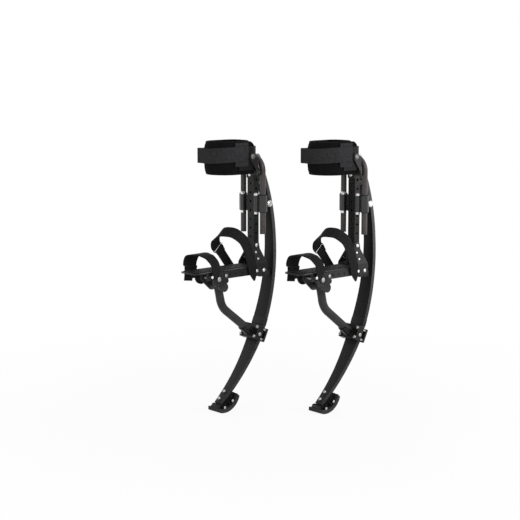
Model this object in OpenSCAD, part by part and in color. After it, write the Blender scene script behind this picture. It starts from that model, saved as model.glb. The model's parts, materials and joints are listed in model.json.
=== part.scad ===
// Pair of jumping stilts: a bowed leaf spring, a foot plate, a knee bar and a knee cuff on each.
// Toes point along -X, the wearer's left is -Y and up is +Z. The ground under the hooves is z = 0.

/* [Layout] */
// How far the left stilt stands behind the right one
stagger = 252; // [0:1:400]
// How far apart the two stilts stand, side to side
spacing = 243; // [200:1:400]

/* [Leaf spring] */
// Radius of the spring's bow, on its middle layer
spring_r = 692; // [640:1:760]
// How far the bow's rearmost point lies behind the knee bar's centre
spring_back_x = 82; // [78:1:90]
// Height of the bow's rearmost point
spring_back_z = 556; // [540:1:570]
// Thickness of the spring
spring_t = 15; // [12:0.5:17]
// Width of the spring at its upper end
spring_w_top = 45; // [38:1:48]
// Width of the spring just above the clamp
spring_w_mid = 60; // [52:1:64]
// Width of the spring at the hoof
spring_w_low = 24; // [20:1:28]
// Height of the spring's upper hinge
eye_z = 835; // [825:1:840]
// Height of the spring's lower tip, on its middle layer
spring_tip_z = 27; // [22:1:32]

/* [Knee bar] */
// Width of the knee bar, side to side
bar_w = 32; // [26:1:32]
// Depth of the knee bar, front to back
bar_d = 24; // [20:1:26]
// Wall of the knee bar
bar_wall = 2.5; // [1.5:0.5:4]
// Height of the knee bar's top end
bar_top_z = 858; // [850:1:860]
// Diameter of the knee bar's adjusting holes
bar_hole_d = 9; // [8.6:0.1:10]
// Step of the adjusting holes
bar_pitch = 31; // [30:0.5:32]

/* [U bar] */
// Outside diameter of the U bar's tube
tube_d = 20; // [16:1:22]
// Wall of the U bar's tube
tube_wall = 2; // [1.5:0.5:3]
// Half the distance between the U bar's two legs
tube_y = 50; // [48:1:54]
// Height of the legs' open lower ends
tube_low_z = 612; // [590:1:630]
// Height where the legs run into the round top bend
bend_z = 828; // [824:1:836]

/* [Slider block] */
// Height of the slider block's lower face
slider_z = 689; // [680:1:695]
// Height of the slider block, bottom to top
slider_h = 57; // [50:1:62]
// Wall of the sleeves around the bushes
sleeve_wall = 3; // [2:0.5:4]
// Wall of the nylon bushes
bush_wall = 2; // [1.5:0.1:3]

/* [Foot plate] */
// Height of the foot plate's upper face
plate_z = 501; // [496:1:506]
// Thickness of the foot plate
plate_t = 4; // [3:0.5:6]
// Width of the foot plate
plate_w = 88; // [84:1:90]
// How far the toe edge lies ahead of the knee bar's centre
toe_x = 298; // [280:1:310]
// Height of the foot plate's side flanges
flange_h = 25; // [20:1:28]

/* [Swing arm] */
// How far the arm's pivot lies ahead of the knee bar's centre
pivot_x = 198; // [192:1:204]
// Height of the arm's pivot
pivot_z = 474; // [468:1:478]
// Diameter of the pivot axle
axle_d = 12; // [10:1:14]
// Outside diameter of the swing arm's tube
arm_d = 29; // [25:1:31]
// Wall of the swing arm's tube
arm_wall = 3; // [2:0.5:4]
// Radius of the swing arm's bend
arm_bend_r = 70; // [50:1:80]

/* [Hoof] */
// Radius of the rocker sole
sole_r = 70; // [66:1:74]
// Thickness of the rocker sole
sole_t = 13; // [9:0.5:14]
// Width of the rocker sole
sole_w = 68; // [60:1:76]

/* [Knee cuff] */
// Half the width of the cuff's shell, outside
cuff_half_w = 70; // [68:1:74]
// How far the cuff's front curve is centred ahead of the knee bar
cuff_front_x = 130; // [122:1:136]
// How far the cuff's back face lies ahead of the knee bar's centre
cuff_back_x = 28; // [26:1:32]
// Height of the cuff's pivot
cuff_pivot_z = 884; // [878:1:888]
// How far the cuff's pivot lies ahead of the knee bar's centre
cuff_pivot_x = 70; // [66:1:72]
// Thickness of the shell
shell_t = 4; // [3:0.5:5]
// Thickness of the pad
pad_t = 14; // [10:1:16]
// Height of the pad
pad_h = 112; // [100:1:118]

/* [Straps] */
// Thickness of the webbing
web_t = 3; // [2:0.5:4]
// Width of the toe strap
toe_strap_w = 36; // [30:1:38]
// Width of the ankle strap
ankle_strap_w = 38; // [30:1:42]
// Width of the knee strap
knee_strap_w = 51; // [44:1:58]
// Forward lean of the ankle strap, in degrees
ankle_lean = 29; // [24:1:33]

/* [Hidden] */
$fn = 64;

// Gap between faces that move past each other
run_gap = 0.3;
// Radial clearance of a pin that turns in its bore
pin_gap = 0.05;
// Radial clearance of the spring's eye, which also takes up the linkage's small misfit
eye_gap = 0.8;
// Gap between the spring and what is bolted on its moving ends
spring_gap = 0.1;
// Extra length of every cutting shape
cut = 1;

// Bow of the spring: centre of its arc, and the angle on it of a given height
arc_x = spring_back_x - spring_r;
function arc_angle(z) = asin((z - spring_back_z) / spring_r);
function arc_point(z) = [arc_x + spring_r * cos(arc_angle(z)), z];
half_t = spring_t / 2;
// Puts the middle of the pair's outline on the origin
middle_x = (toe_x - spring_back_x - half_t) / 2;
eye_angle = arc_angle(eye_z);
tip_angle = arc_angle(spring_tip_z);
eye_xz = arc_point(eye_z);
mm_to_deg = 180 / (PI * spring_r);

// Clamp where the swing arm grips the spring
clamp_z = 253;
clamp_angle = arc_angle(clamp_z);
clamp_front_t = 26;
clamp_back_t = 7;
clamp_half_h = 26;
clamp_bolt_d = 8;
clamp_bolt_y = spring_w_mid / 2 + 5;
clamp_half_w = clamp_bolt_y + 6;
clamp_bolt_z = 17;
arm_grip = 20;
arm_drop = 4;
arm_past_bolt = 7;

// Swing arm: top cross tube, vertex of the bend, and the end held in the clamp
pivot_xz = [-pivot_x, pivot_z];
arm_top = [-162, 441];
arm_vertex = [-146, 366];
arm_angle = clamp_angle - arm_drop * mm_to_deg;
arm_bolt = [arc_x + (spring_r - arm_grip) * cos(arm_angle),
    spring_back_z + (spring_r - arm_grip) * sin(arm_angle)];
arm_end = arm_bolt + arm_past_bolt * (arm_bolt - arm_vertex) / norm(arm_bolt - arm_vertex);
fork_y = plate_w / 2 - 14;
fork_t = 6;
weld_w = 5;
weld_h = 0.3;

// Knee bar's holes: the side row, and the front row half a step above it
side_row_z = 612;
front_row_z = 630;
side_rows = [0, 1, 2, 3, 4, 5, 6, 7];
front_rows = [-2, -1, 0, 1, 2, 3, 4, 5, 6, 7];

// Heel plates, foot plate's flanges and pivot brackets
flange_t = 4;
flange_low_z = plate_z - plate_t - flange_h;
toe_strap_x = 226;
flange_front_x = toe_strap_x + toe_strap_w / 2 + 2;
heel_back_x = 26;
heel_t = 4;
heel_y = bar_w / 2;
heel_bolt_xz = [-3, 570];
heel_low_bolt_xz = [6, flange_low_z + 13];
heel_bolt_d = 8;
bracket_t = 5;
bracket_r = 21;
bracket_y = plate_w / 2;
bracket_bolt_xz = [-pivot_x + 31, flange_low_z + 12];
axle_end_y = bracket_y + bracket_t;

// Slider block and the rest that the spring lies on
sleeve_d = tube_d + 2 * (bush_wall + sleeve_wall);
slider_bolt_x = 17.5;
slider_bolt_y = tube_y - 15;
slider_bolt_d = 8;
rest_z = slider_z + 24;
rest_roller_d = 16;
rest_arm_y = 25;
rest_arm_t = 5;
rest_x = arc_point(rest_z)[0] - half_t / cos(arc_angle(rest_z)) - rest_roller_d / 2 - run_gap;

// Hanger of the spring's eye on the U bar's top bend
eye_d = 20;
eye_half_w = 15;
eye_pin_d = 10;
hanger_y = bar_w / 2 + 1.5;
hanger_t = 5;
clip_t = 5;
clip_len = 56;
clip_bolt_d = 8;
clip_bolt_at = [26, 44];

// Hoof: centre of the rocker, and the bolts through spring and sides
sole_xz = [arc_point(spring_tip_z)[0] + 3, sole_r];
hoof_bolt_d = 8;
hoof_bolt_at = [16, 48];
side_bolt_xz = [sole_xz + sole_r * [0.529, -0.477], sole_xz + sole_r * [0.014, -0.747]];
side_bolt_d = 6;
core_half_w = 21;
rib_half_w = sole_w / 2 - 3;

// Cuff bracket and cuff
bracket_web_x = bar_d / 2;
bracket_web_r = 15;
bracket_web_z = cuff_pivot_z - 54;
bracket_bolt_rows = [6, 7];
bracket_low_z = front_row_z + bracket_bolt_rows[0] * bar_pitch - 12;
bracket_high_z = front_row_z + bracket_bolt_rows[1] * bar_pitch + 11;
bracket_arm_y = cuff_half_w + 1;
bracket_arm_t = 4;
bracket_clear = 4.5;
bracket_arm_r = 12;
cuff_bolt_d = 8;
cuff_corner_r = 40;
shell_low_z = 838;
shell_h = 80;
shell_front_x = 124;
pad_low_z = cuff_pivot_z - 60;
panel_back_x = 86;
panel_front_x = 142;
panel_low_z = 852;
panel_h = 80;
knee_strap_z = 864;
loop_angle = 44;
loop_len = 19;

// Straps over the shoe
toe_half_w = plate_w / 2 + 10;
toe_strap_top_z = 562;
toe_strap_low_z = 478;
ankle_strap_x = 36;
ankle_half_w = plate_w / 2 + heel_t + web_t + run_gap;
ankle_base_z = 470;
ankle_len = 172;
ankle_tip = 22;
strap_bolt_d = 6;
toe_bolt_xz = [-toe_strap_x - 6, toe_strap_low_z + 7];
ankle_bolt_xz = [-ankle_strap_x + 8, flange_low_z + 14];
ring_d = 4;
toe_ring_z = toe_strap_low_z + 30;
ankle_ring_h = 86;

// Places of the two stilts

module left() {
    translate([middle_x + stagger / 2, -spacing / 2, 0]) children();
}

module right() {
    translate([middle_x - stagger / 2, spacing / 2, 0]) children();
}

module both() {
    left() children();
    right() children();
}

// Shapes that repeat

// Round rod along Y at the place xz = [x, z]
module cross_rod(xz, d, y0, y1) {
    translate([xz[0], y1, xz[1]]) rotate([90, 0, 0]) cylinder(d = d, h = y1 - y0);
}

// Plate in the XZ plane between y0 and y0 + t, from a flat outline
module side_plate(y0, t) {
    translate([0, y0 + t, 0]) rotate([90, 0, 0]) linear_extrude(t) children();
}

// The same piece on both sides of the stilt's middle plane
module each_side() {
    children();
    mirror([0, 1, 0]) children();
}

// Outline of two discs and the straight edges that touch both
module tangent_link(p, r, q, s) {
    d = norm(q - p);
    base = atan2(q[1] - p[1], q[0] - p[0]);
    turn = acos((r - s) / d);
    translate(p) circle(r);
    translate(q) circle(s);
    polygon([for (c = [[p, r, turn], [q, s, turn], [q, s, -turn], [p, r, -turn]])
        c[0] + c[1] * [cos(base + c[2]), sin(base + c[2])]]);
}

// Frame on the spring's middle layer: X points out of the bow's back, Z up along the spring
module at_arc(angle) {
    translate([arc_x, 0, spring_back_z]) rotate([0, -angle, 0]) translate([spring_r, 0, 0]) children();
}

// Band that follows the spring's bow between two angles, from r0 to r1 and w wide
module arc_band(a0, a1, r0, r1, w) {
    translate([arc_x, 0, spring_back_z]) rotate([0, -a0, 0]) rotate([90, 0, 0])
        rotate_extrude(angle = a1 - a0, $fn = 180)
            translate([r0, -w / 2]) square([r1 - r0, w]);
}

// Bolt along Z with its shank from z0 to z1, a domed head above z1 and a nut below z0
module bolt(d, z0, z1, head_d, head_h, nut_h) {
    translate([0, 0, z0 - nut_h]) cylinder(d = d, h = z1 - z0 + nut_h);
    translate([0, 0, z1]) cylinder(d = head_d, h = head_h * 0.6);
    translate([0, 0, z1 + head_h * 0.6]) cylinder(d1 = head_d, d2 = head_d * 0.6, h = head_h * 0.4);
    if (nut_h > 0) translate([0, 0, z0 - nut_h]) cylinder(d = head_d, h = nut_h, $fn = 6);
}

// Bolt along Y at [x, z], head on the -Y side
module cross_bolt(xz, d, y0, y1, head_d, head_h, nut_h) {
    translate([xz[0], 0, xz[1]]) rotate([90, 0, 0]) bolt(d, -y1, -y0, head_d, head_h, nut_h);
}

// Frame: foot plate, heel plates, knee bar

module foot_plate() {
    color("#2b2b2d") difference() {
        union() {
            // Top sheet with a rounded toe
            translate([-toe_x + plate_w / 4, -plate_w / 2, plate_z - plate_t])
                cube([toe_x - plate_w / 4 + heel_back_x, plate_w, plate_t]);
            translate([0, 0, plate_z - plate_t]) linear_extrude(plate_t) {
                translate([-toe_x, -plate_w / 4]) square([plate_w / 4 + cut, plate_w / 2]);
                for (side = [-1, 1])
                    translate([-toe_x + plate_w / 4, side * plate_w / 4]) circle(plate_w / 4);
            }
            // Side flanges with a lobe round the arm's pivot
            each_side() side_plate(plate_w / 2 - flange_t, flange_t) {
                translate([-flange_front_x, flange_low_z]) square([flange_front_x + heel_back_x,
                    plate_z - plate_t / 2 - flange_low_z]);
                translate(pivot_xz) circle(bracket_r - 3);
            }
            // Cross wall at the heel and the tongue that carries the heel bumper
            translate([heel_back_x - flange_t, -plate_w / 2 + cut, flange_low_z])
                cube([flange_t, plate_w - 2 * cut, plate_z - plate_t / 2 - flange_low_z]);
            bumper_tongue();
        }
        cross_rod(pivot_xz, axle_d + 2 * pin_gap, -plate_w, plate_w);
        // Lightening holes in the flanges and the top sheet
        for (x = [90, 117, 144]) cross_rod([-x, flange_low_z + flange_h / 2], 8, -plate_w, plate_w);
        strap_bolt_holes();
        cross_rod(bracket_bolt_xz, heel_bolt_d, -plate_w, plate_w);
        cross_rod(heel_low_bolt_xz, heel_bolt_d, -plate_w, plate_w);
        for (i = [0 : 3]) translate([-70 - 48 * i, 0, plate_z - plate_t - cut])
            cylinder(d = 22, h = plate_t + 2 * cut);
    }
}

bumper_z = 464;
bumper_w = 28;
bumper_h = 20;
bumper_len = 25;
bumper_low_z = bumper_z - bumper_h / 2;
bumper_face_x = arc_point(bumper_low_z)[0] - half_t / cos(arc_angle(bumper_low_z)) - 2 * run_gap;

module bumper_tongue() {
    translate([heel_back_x - flange_t, -bumper_w / 2 + 2, bumper_z - bumper_h / 2 + 1])
        cube([bumper_face_x - bumper_len - heel_back_x + flange_t, bumper_w - 4, bumper_h - 2]);
    translate([heel_back_x - flange_t, -bumper_w / 2 + 2, bumper_z])
        cube([flange_t, bumper_w - 4, flange_low_z - bumper_z + cut]);
}

module heel_bumper() {
    color("#6e6e70") translate([bumper_face_x - bumper_len, -bumper_w / 2, bumper_z - bumper_h / 2])
        cube([bumper_len, bumper_w, bumper_h]);
}

mat_t = 3;
mat_edge = 8;
mat_back_x = 20;

module grip_mat() {
    color("#1a1a1b") translate([-toe_x + 14, -plate_w / 2 + mat_edge, plate_z])
        cube([toe_x - 14 - mat_back_x, plate_w - 2 * mat_edge, mat_t]);
}

heel_top_z = 590;
heel_tab_z = 556;
heel_bend_z = 509;
heel_hole_xz = [[-11, 546], [-12, 525]];
heel_hole_d = 9;

// Outline of a heel plate seen from behind: down the knee bar, out to the foot plate's edge, down its flange
module heel_profile() {
    out_y = plate_w / 2;
    polygon([[heel_y, heel_top_z], [heel_y + heel_t, heel_top_z], [heel_y + heel_t, heel_tab_z + 1],
        [out_y + heel_t, heel_bend_z + 1], [out_y + heel_t, flange_low_z], [out_y, flange_low_z],
        [out_y, heel_bend_z - 1], [heel_y, heel_tab_z - 1]]);
}

module heel_plates() {
    color("#2b2b2d") each_side() difference() {
        intersection() {
            translate([plate_w / 2, 0, 0]) rotate([90, 0, -90])
                linear_extrude(plate_w) mirror([1, 0]) heel_profile();
            side_plate(0, plate_w) union() {
                tangent_link(heel_bolt_xz, 14, [-2, flange_low_z + 25], 26);
                tangent_link([-2, flange_low_z + 25], 20, ankle_bolt_xz, 9);
            }
        }
        for (xz = heel_hole_xz) cross_rod(xz, heel_hole_d, 0, plate_w);
        cross_rod(heel_low_bolt_xz, heel_bolt_d, 0, plate_w);
        cross_rod(heel_bolt_xz, heel_bolt_d, 0, plate_w);
        strap_bolt_holes();
    }
}

module knee_bar() {
    color("#343436") difference() {
        translate([-bar_d / 2, -bar_w / 2, plate_z]) cube([bar_d, bar_w, bar_top_z - plate_z]);
        translate([-bar_d / 2 + bar_wall, -bar_w / 2 + bar_wall, plate_z - cut])
            cube([bar_d - 2 * bar_wall, bar_w - 2 * bar_wall, bar_top_z - plate_z + 2 * cut]);
        for (row = side_rows)
            cross_rod([0, side_row_z + row * bar_pitch], bar_hole_d, -bar_w, bar_w);
        cross_rod(heel_bolt_xz, heel_bolt_d, -bar_w, bar_w);
        for (row = front_rows)
            translate([-bar_d, 0, front_row_z + row * bar_pitch]) rotate([0, 90, 0])
                cylinder(d = bar_hole_d, h = 2 * bar_d);
    }
}

// Bolts of the heel plates and of the cuff's bracket
module frame_bolts() {
    color("#d9d9d6") {
        cross_bolt(heel_bolt_xz, heel_bolt_d, -heel_y - heel_t, heel_y + heel_t, 14, 6, 6);
        each_side() translate([heel_low_bolt_xz[0], 0, heel_low_bolt_xz[1]]) rotate([-90, 0, 0])
            bolt(heel_bolt_d, plate_w / 2 - flange_t, plate_w / 2 + heel_t, 12, 4, 4);
        for (row = bracket_bolt_rows) translate([0, 0, front_row_z + row * bar_pitch]) rotate([0, -90, 0])
            bolt(slider_bolt_d, bar_d / 2 - bar_wall, bar_d / 2 + bracket_arm_t, 13, 3, 5);
    }
}

// Slider block, its bushes and bolts, and the rest behind it

module slider_block() {
    web_x = 8;
    color("#3a3a3c") difference() {
        union() {
            translate([-bar_d / 2, -bar_w / 2 - 6, slider_z])
                cube([bar_d + 8, bar_w + 12, slider_h]);
            each_side() {
                translate([0, tube_y, slider_z]) cylinder(d = sleeve_d, h = slider_h);
                translate([-web_x, bar_w / 2 + 5, slider_z]) cube([2 * web_x, tube_y - bar_w / 2 - 5, slider_h]);
                translate([-slider_bolt_x, slider_bolt_y, slider_z]) cylinder(d = 16, h = slider_h);
                translate([-slider_bolt_x, slider_bolt_y - 8, slider_z]) cube([slider_bolt_x, 16, slider_h]);
            }
            // Arms of the spring's rest
            each_side() side_plate(rest_arm_y, rest_arm_t)
                tangent_link([rest_x, rest_z], 11, [bar_d / 2, slider_z + 24], 18);
            each_side() translate([bar_d / 2 - 6, bar_w / 2, slider_z + 8])
                cube([12, rest_arm_y - bar_w / 2 + rest_arm_t, 32]);
        }
        translate([-bar_d / 2 - cut, -bar_w / 2, slider_z - cut]) cube([bar_d + cut, bar_w, slider_h + 2 * cut]);
        each_side() {
            translate([0, tube_y, slider_z - cut]) cylinder(d = tube_d + 2 * bush_wall, h = slider_h + 2 * cut);
            translate([-slider_bolt_x, slider_bolt_y, slider_z - cut])
                cylinder(d = slider_bolt_d, h = slider_h + 2 * cut);
        }
        cross_rod([rest_x, rest_z], slider_bolt_d, -tube_y, tube_y);
        translate([0, 0, front_row_z + 3 * bar_pitch]) rotate([0, 90, 0])
            cylinder(d = slider_bolt_d, h = tube_y);
    }
}

module slider_bolts() {
    color("#e4e4e2") {
        each_side() translate([-slider_bolt_x, slider_bolt_y, 0])
            bolt(slider_bolt_d, slider_z, slider_z + slider_h, 15, 9, 8);
        translate([0, 0, front_row_z + 3 * bar_pitch]) rotate([0, 90, 0])
            bolt(slider_bolt_d, bar_d / 2 - bar_wall, bar_d / 2 + 8, 14, 6, 5);
    }
}

flange_bush_t = 2;

module slider_bushes() {
    color("#1c1c1d") each_side() translate([0, tube_y, 0]) difference() {
        union() {
            translate([0, 0, slider_z]) cylinder(d = tube_d + 2 * bush_wall, h = slider_h);
            for (z = [slider_z - flange_bush_t, slider_z + slider_h])
                translate([0, 0, z]) cylinder(d = tube_d + 2 * bush_wall + 2, h = flange_bush_t);
        }
        translate([0, 0, slider_z - 2 * flange_bush_t])
            cylinder(d = tube_d + 2 * pin_gap, h = slider_h + 4 * flange_bush_t);
    }
}

module spring_rest() {
    color("#d9d9d6") {
        cross_bolt([rest_x, rest_z], slider_bolt_d, -rest_arm_y - rest_arm_t, rest_arm_y + rest_arm_t, 22, 8, 7);
        difference() {
            cross_rod([rest_x, rest_z], rest_roller_d, -rest_arm_y + run_gap, rest_arm_y - run_gap);
            cross_rod([rest_x, rest_z], slider_bolt_d + 2 * pin_gap, -tube_y, tube_y);
        }
    }
}

// U bar with the hanger of the spring's eye

module u_bar() {
    color("#4a4344") difference() {
        u_form(tube_d);
        u_form(tube_d - 2 * tube_wall, cut);
    }
}

// Inverted U of round section d, with the legs drawn longer by more
module u_form(d, more = 0) {
    translate([0, 0, bend_z]) rotate([0, 90, 0]) rotate([0, 0, 90])
        rotate_extrude(angle = 180) translate([tube_y, 0]) circle(d = d);
    each_side() translate([0, tube_y, tube_low_z - more]) cylinder(d = d, h = bend_z - tube_low_z + more);
}

module spring_hanger() {
    mid_y = hanger_y + hanger_t / 2;
    crown = [0, bend_z + sqrt(tube_y * tube_y - mid_y * mid_y)];
    color("#dcdcda") {
        each_side() difference() {
            side_plate(hanger_y, hanger_t) tangent_link(eye_xz, 11, crown, tube_d / 2 + 5);
            u_form(tube_d);
            cross_rod(eye_xz, eye_pin_d, 0, tube_y);
            // Open towards the cuff's bracket
            translate([-tube_y - 4, 0, bend_z]) cube([tube_y, tube_y, 2 * tube_y]);
        }
        cross_bolt(eye_xz, eye_pin_d, -hanger_y - hanger_t, hanger_y + hanger_t, 17, 6, 6);
    }
}

// Leaf spring, the clip with its eye, and the clip's bolts

module leaf_spring() {
    side = [[spring_w_top / 2, bar_top_z], [spring_w_top / 2, spring_back_z + 30],
        [spring_w_mid / 2, clamp_z + 60], [spring_w_mid / 2, clamp_z - 20], [spring_w_low / 2, 0]];
    color("#3f3f40") difference() {
        intersection() {
            arc_band(tip_angle, eye_angle - (eye_d / 2 + 4) * mm_to_deg, spring_r - half_t, spring_r + half_t,
                spring_w_mid + 10);
            rotate([90, 0, 90]) translate([0, 0, arc_x]) linear_extrude(spring_r + tube_y)
                polygon(concat(side, [for (i = [len(side) - 1 : -1 : 0]) [-side[i][0], side[i][1]]]));
        }
        for (at = clip_bolt_at) at_arc(eye_angle - at * mm_to_deg) rotate([0, 90, 0])
            cylinder(d = clip_bolt_d + 2 * spring_gap, h = 4 * spring_t, center = true);
        for (at = hoof_bolt_at) at_arc(tip_angle + at * mm_to_deg) rotate([0, 90, 0])
            cylinder(d = hoof_bolt_d + 2 * spring_gap, h = 4 * spring_t, center = true);
    }
}

wrap_t = 1.5;
wrap_w = 26;
wrap_from = 32;

// Tape wound round the spring above the clamp
module spring_wrap() {
    low = clamp_angle + wrap_from * mm_to_deg;
    high = low + wrap_w * mm_to_deg;
    color("#1b1b1c") difference() {
        arc_band(low, high, spring_r - half_t - wrap_t, spring_r + half_t + wrap_t, spring_w_mid + 2 * wrap_t);
        arc_band(low - 1, high + 1, spring_r - half_t, spring_r + half_t, spring_w_mid);
    }
}

module spring_clip() {
    low = eye_angle - clip_len * mm_to_deg;
    color("#c9c9c7") difference() {
        union() {
            cross_rod(eye_xz, eye_d, -eye_half_w, eye_half_w);
            arc_band(low, eye_angle - 3 * mm_to_deg, spring_r - half_t - clip_t, spring_r - half_t - spring_gap,
                2 * eye_half_w);
            arc_band(low, eye_angle, spring_r + half_t + spring_gap, spring_r + half_t + clip_t,
                2 * eye_half_w);
        }
        cross_rod(eye_xz, eye_pin_d + 2 * eye_gap, -tube_y, tube_y);
        for (at = clip_bolt_at) at_arc(eye_angle - at * mm_to_deg) rotate([0, 90, 0])
            cylinder(d = clip_bolt_d, h = 4 * spring_t, center = true);
    }
}

module clip_bolts() {
    color("#d9d9d6") for (at = clip_bolt_at) at_arc(eye_angle - at * mm_to_deg) rotate([0, 90, 0])
        bolt(clip_bolt_d, -half_t - clip_t - 0.1, half_t + clip_t + 0.1, 14, 5, 4);
}

// Pivot brackets and axles

module pivot_brackets() {
    rear = [-pivot_x + 34, flange_low_z - 6];
    color("#303032") each_side() difference() {
        side_plate(bracket_y, bracket_t) {
            translate(pivot_xz) circle(bracket_r);
            intersection() {
                tangent_link(pivot_xz, bracket_r + 6, rear, 9);
                translate([-2 * pivot_x, 0]) square([2 * pivot_x, toe_strap_low_z - 1]);
            }
            translate([-pivot_x - bracket_r, pivot_z]) square([bracket_r + 40, plate_z - plate_t - pivot_z]);
        }
        cross_rod(pivot_xz, axle_d + 2 * pin_gap, 0, plate_w);
        cross_rod(bracket_bolt_xz, heel_bolt_d, 0, plate_w);
        // Ring groove round the boss
        difference() {
            cross_rod(pivot_xz, 2 * bracket_r - 8, axle_end_y - 1.5, plate_w);
            cross_rod(pivot_xz, 2 * bracket_r - 16, 0, plate_w);
        }
    }
}

// Axles with the washers beside the fork, and the brackets' second bolts
module pivot_axles() {
    color("#e4e4e2") {
        cross_bolt(pivot_xz, axle_d, -axle_end_y, axle_end_y, 16, 4, 5);
        each_side() {
            difference() {
                cross_rod(pivot_xz, 24, fork_y + fork_t + run_gap, plate_w / 2 - flange_t - run_gap);
                cross_rod(pivot_xz, axle_d + 2 * pin_gap, 0, plate_w);
            }
            translate([bracket_bolt_xz[0], 0, bracket_bolt_xz[1]]) rotate([-90, 0, 0])
                bolt(heel_bolt_d, plate_w / 2 - flange_t, axle_end_y, 12, 4, 4);
        }
    }
}

// Swing arm

// The arm's bent middle line: a forged bend with a straight end on each side, welded at two low rings
module arm_tube() {
    up = (arm_top - arm_vertex) / norm(arm_top - arm_vertex);
    down = (arm_end - arm_vertex) / norm(arm_end - arm_vertex);
    half = acos(up * down) / 2;
    reach = arm_bend_r / tan(half);
    mid = (up + down) / norm(up + down);
    hub = arm_vertex + mid * arm_bend_r / sin(half);
    from = arm_vertex + down * reach - hub;
    sweep = 180 - 2 * half;
    start = atan2(from[1], from[0]);
    short = weld_w / 4 * 180 / (PI * arm_bend_r);
    translate([hub[0], 0, hub[1]]) rotate([90, 0, 0]) rotate([0, 0, start - sweep + short])
        rotate_extrude(angle = sweep - 2 * short) translate([arm_bend_r, 0]) circle(d = arm_d);
    for (way = [up, down]) {
        joint = arm_vertex + way * reach;
        rod_between(joint - way * weld_w / 2, joint + way * weld_w / 2, arm_d + 2 * weld_h);
    }
    rod_between(arm_vertex + up * (reach + weld_w / 4), arm_top, arm_d);
    difference() {
        rod_between(arm_vertex + down * (reach + weld_w / 4), arm_end, arm_d);
        rod_between(arm_vertex + down * (reach + 2 * weld_w), arm_end + down * arm_d, arm_d - 2 * arm_wall);
    }
}

// Straight rod in the stilt's middle plane from p to q
module rod_between(p, q, d) {
    translate([p[0], 0, p[1]]) rotate([0, atan2(q[0] - p[0], q[1] - p[1]), 0]) cylinder(d = d, h = norm(q - p));
}

module swing_arm() {
    color("#3b3b3d") difference() {
        union() {
            arm_tube();
            cross_rod(arm_top, arm_d - 2, -fork_y - fork_t, fork_y + fork_t);
            each_side() side_plate(fork_y, fork_t) tangent_link(pivot_xz, 16, arm_top, arm_d / 2 + 1.5);
        }
        cross_rod(pivot_xz, axle_d + 2 * pin_gap, -plate_w, plate_w);
        cross_rod(arm_bolt, clamp_bolt_d, -plate_w, plate_w);
    }
}

// Clamp that grips the spring between a front block and a back plate

module clamp_front() {
    cradle_len = 34;
    down = (arm_end - arm_vertex) / norm(arm_end - arm_vertex);
    color("#2e2e30") difference() {
        union() {
            at_arc(clamp_angle) translate([-half_t - clamp_front_t, -clamp_half_w, -clamp_half_h])
                cube([clamp_front_t, 2 * clamp_half_w, 2 * clamp_half_h]);
            rod_between(arm_end - down * (cradle_len + clamp_front_t), arm_end, arm_d + 9);
        }
        // The upper half of the cradle is open
        at_arc(clamp_angle) translate([-3 * clamp_front_t - half_t, -clamp_half_w, 4])
            cube([2 * clamp_front_t, 2 * clamp_half_w, 2 * clamp_half_h]);
        rod_between(arm_end - down * 3 * clamp_front_t, arm_end, arm_d);
        cross_rod(arm_bolt, clamp_bolt_d, -plate_w, plate_w);
        clamp_bolt_holes();
        arc_band(clamp_angle - 8, clamp_angle + 8, spring_r - half_t, spring_r + 3 * spring_t, plate_w);
    }
}

module clamp_bolt_holes() {
    at_arc(clamp_angle) for (y = [-1, 1], z = [-1, 1])
        translate([0, y * clamp_bolt_y, z * clamp_bolt_z]) rotate([0, 90, 0])
            cylinder(d = clamp_bolt_d, h = 8 * spring_t, center = true);
}

module clamp_back() {
    color("#262628") difference() {
        at_arc(clamp_angle) translate([0, -clamp_half_w, -clamp_half_h + 2])
            cube([half_t + clamp_back_t, 2 * clamp_half_w, 2 * clamp_half_h - 4]);
        arc_band(clamp_angle - 8, clamp_angle + 8, spring_r - 3 * spring_t, spring_r + half_t, plate_w);
        clamp_bolt_holes();
    }
}

module clamp_bolts() {
    color("#e4e4e2") {
        at_arc(clamp_angle) for (y = [-1, 1], z = [-1, 1])
            translate([0, y * clamp_bolt_y, z * clamp_bolt_z]) rotate([0, -90, 0])
                bolt(clamp_bolt_d, -half_t - clamp_back_t, half_t + clamp_front_t, 11, 6, 0);
        cross_bolt(arm_bolt, clamp_bolt_d, -clamp_half_w, clamp_half_w, 13, 5, 6);
    }
}

// Hoof

// Outline that trims the hoof's ends
module hoof_outline() {
    translate([sole_xz[0], 0])
        polygon([[-19, -5], [-19, 19], [-10, 24], [30, 66], [54, 62], [70, 46], [70, -5]]);
}

// Everything behind the spring's back face
module behind_spring(w) {
    difference() {
        children();
        arc_band(tip_angle - 1.5 * mm_to_deg, tip_angle + 14, spring_r - 20 * spring_t,
            spring_r + half_t + spring_gap, w + 2 * cut);
    }
}

module hoof_sole() {
    color("#454547") behind_spring(sole_w) intersection() {
        difference() {
            cross_rod(sole_xz, 2 * sole_r, -sole_w / 2, sole_w / 2);
            cross_rod(sole_xz, 2 * (sole_r - sole_t), -sole_w, sole_w);
        }
        side_plate(-sole_w, 2 * sole_w) hoof_outline();
    }
}

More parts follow.
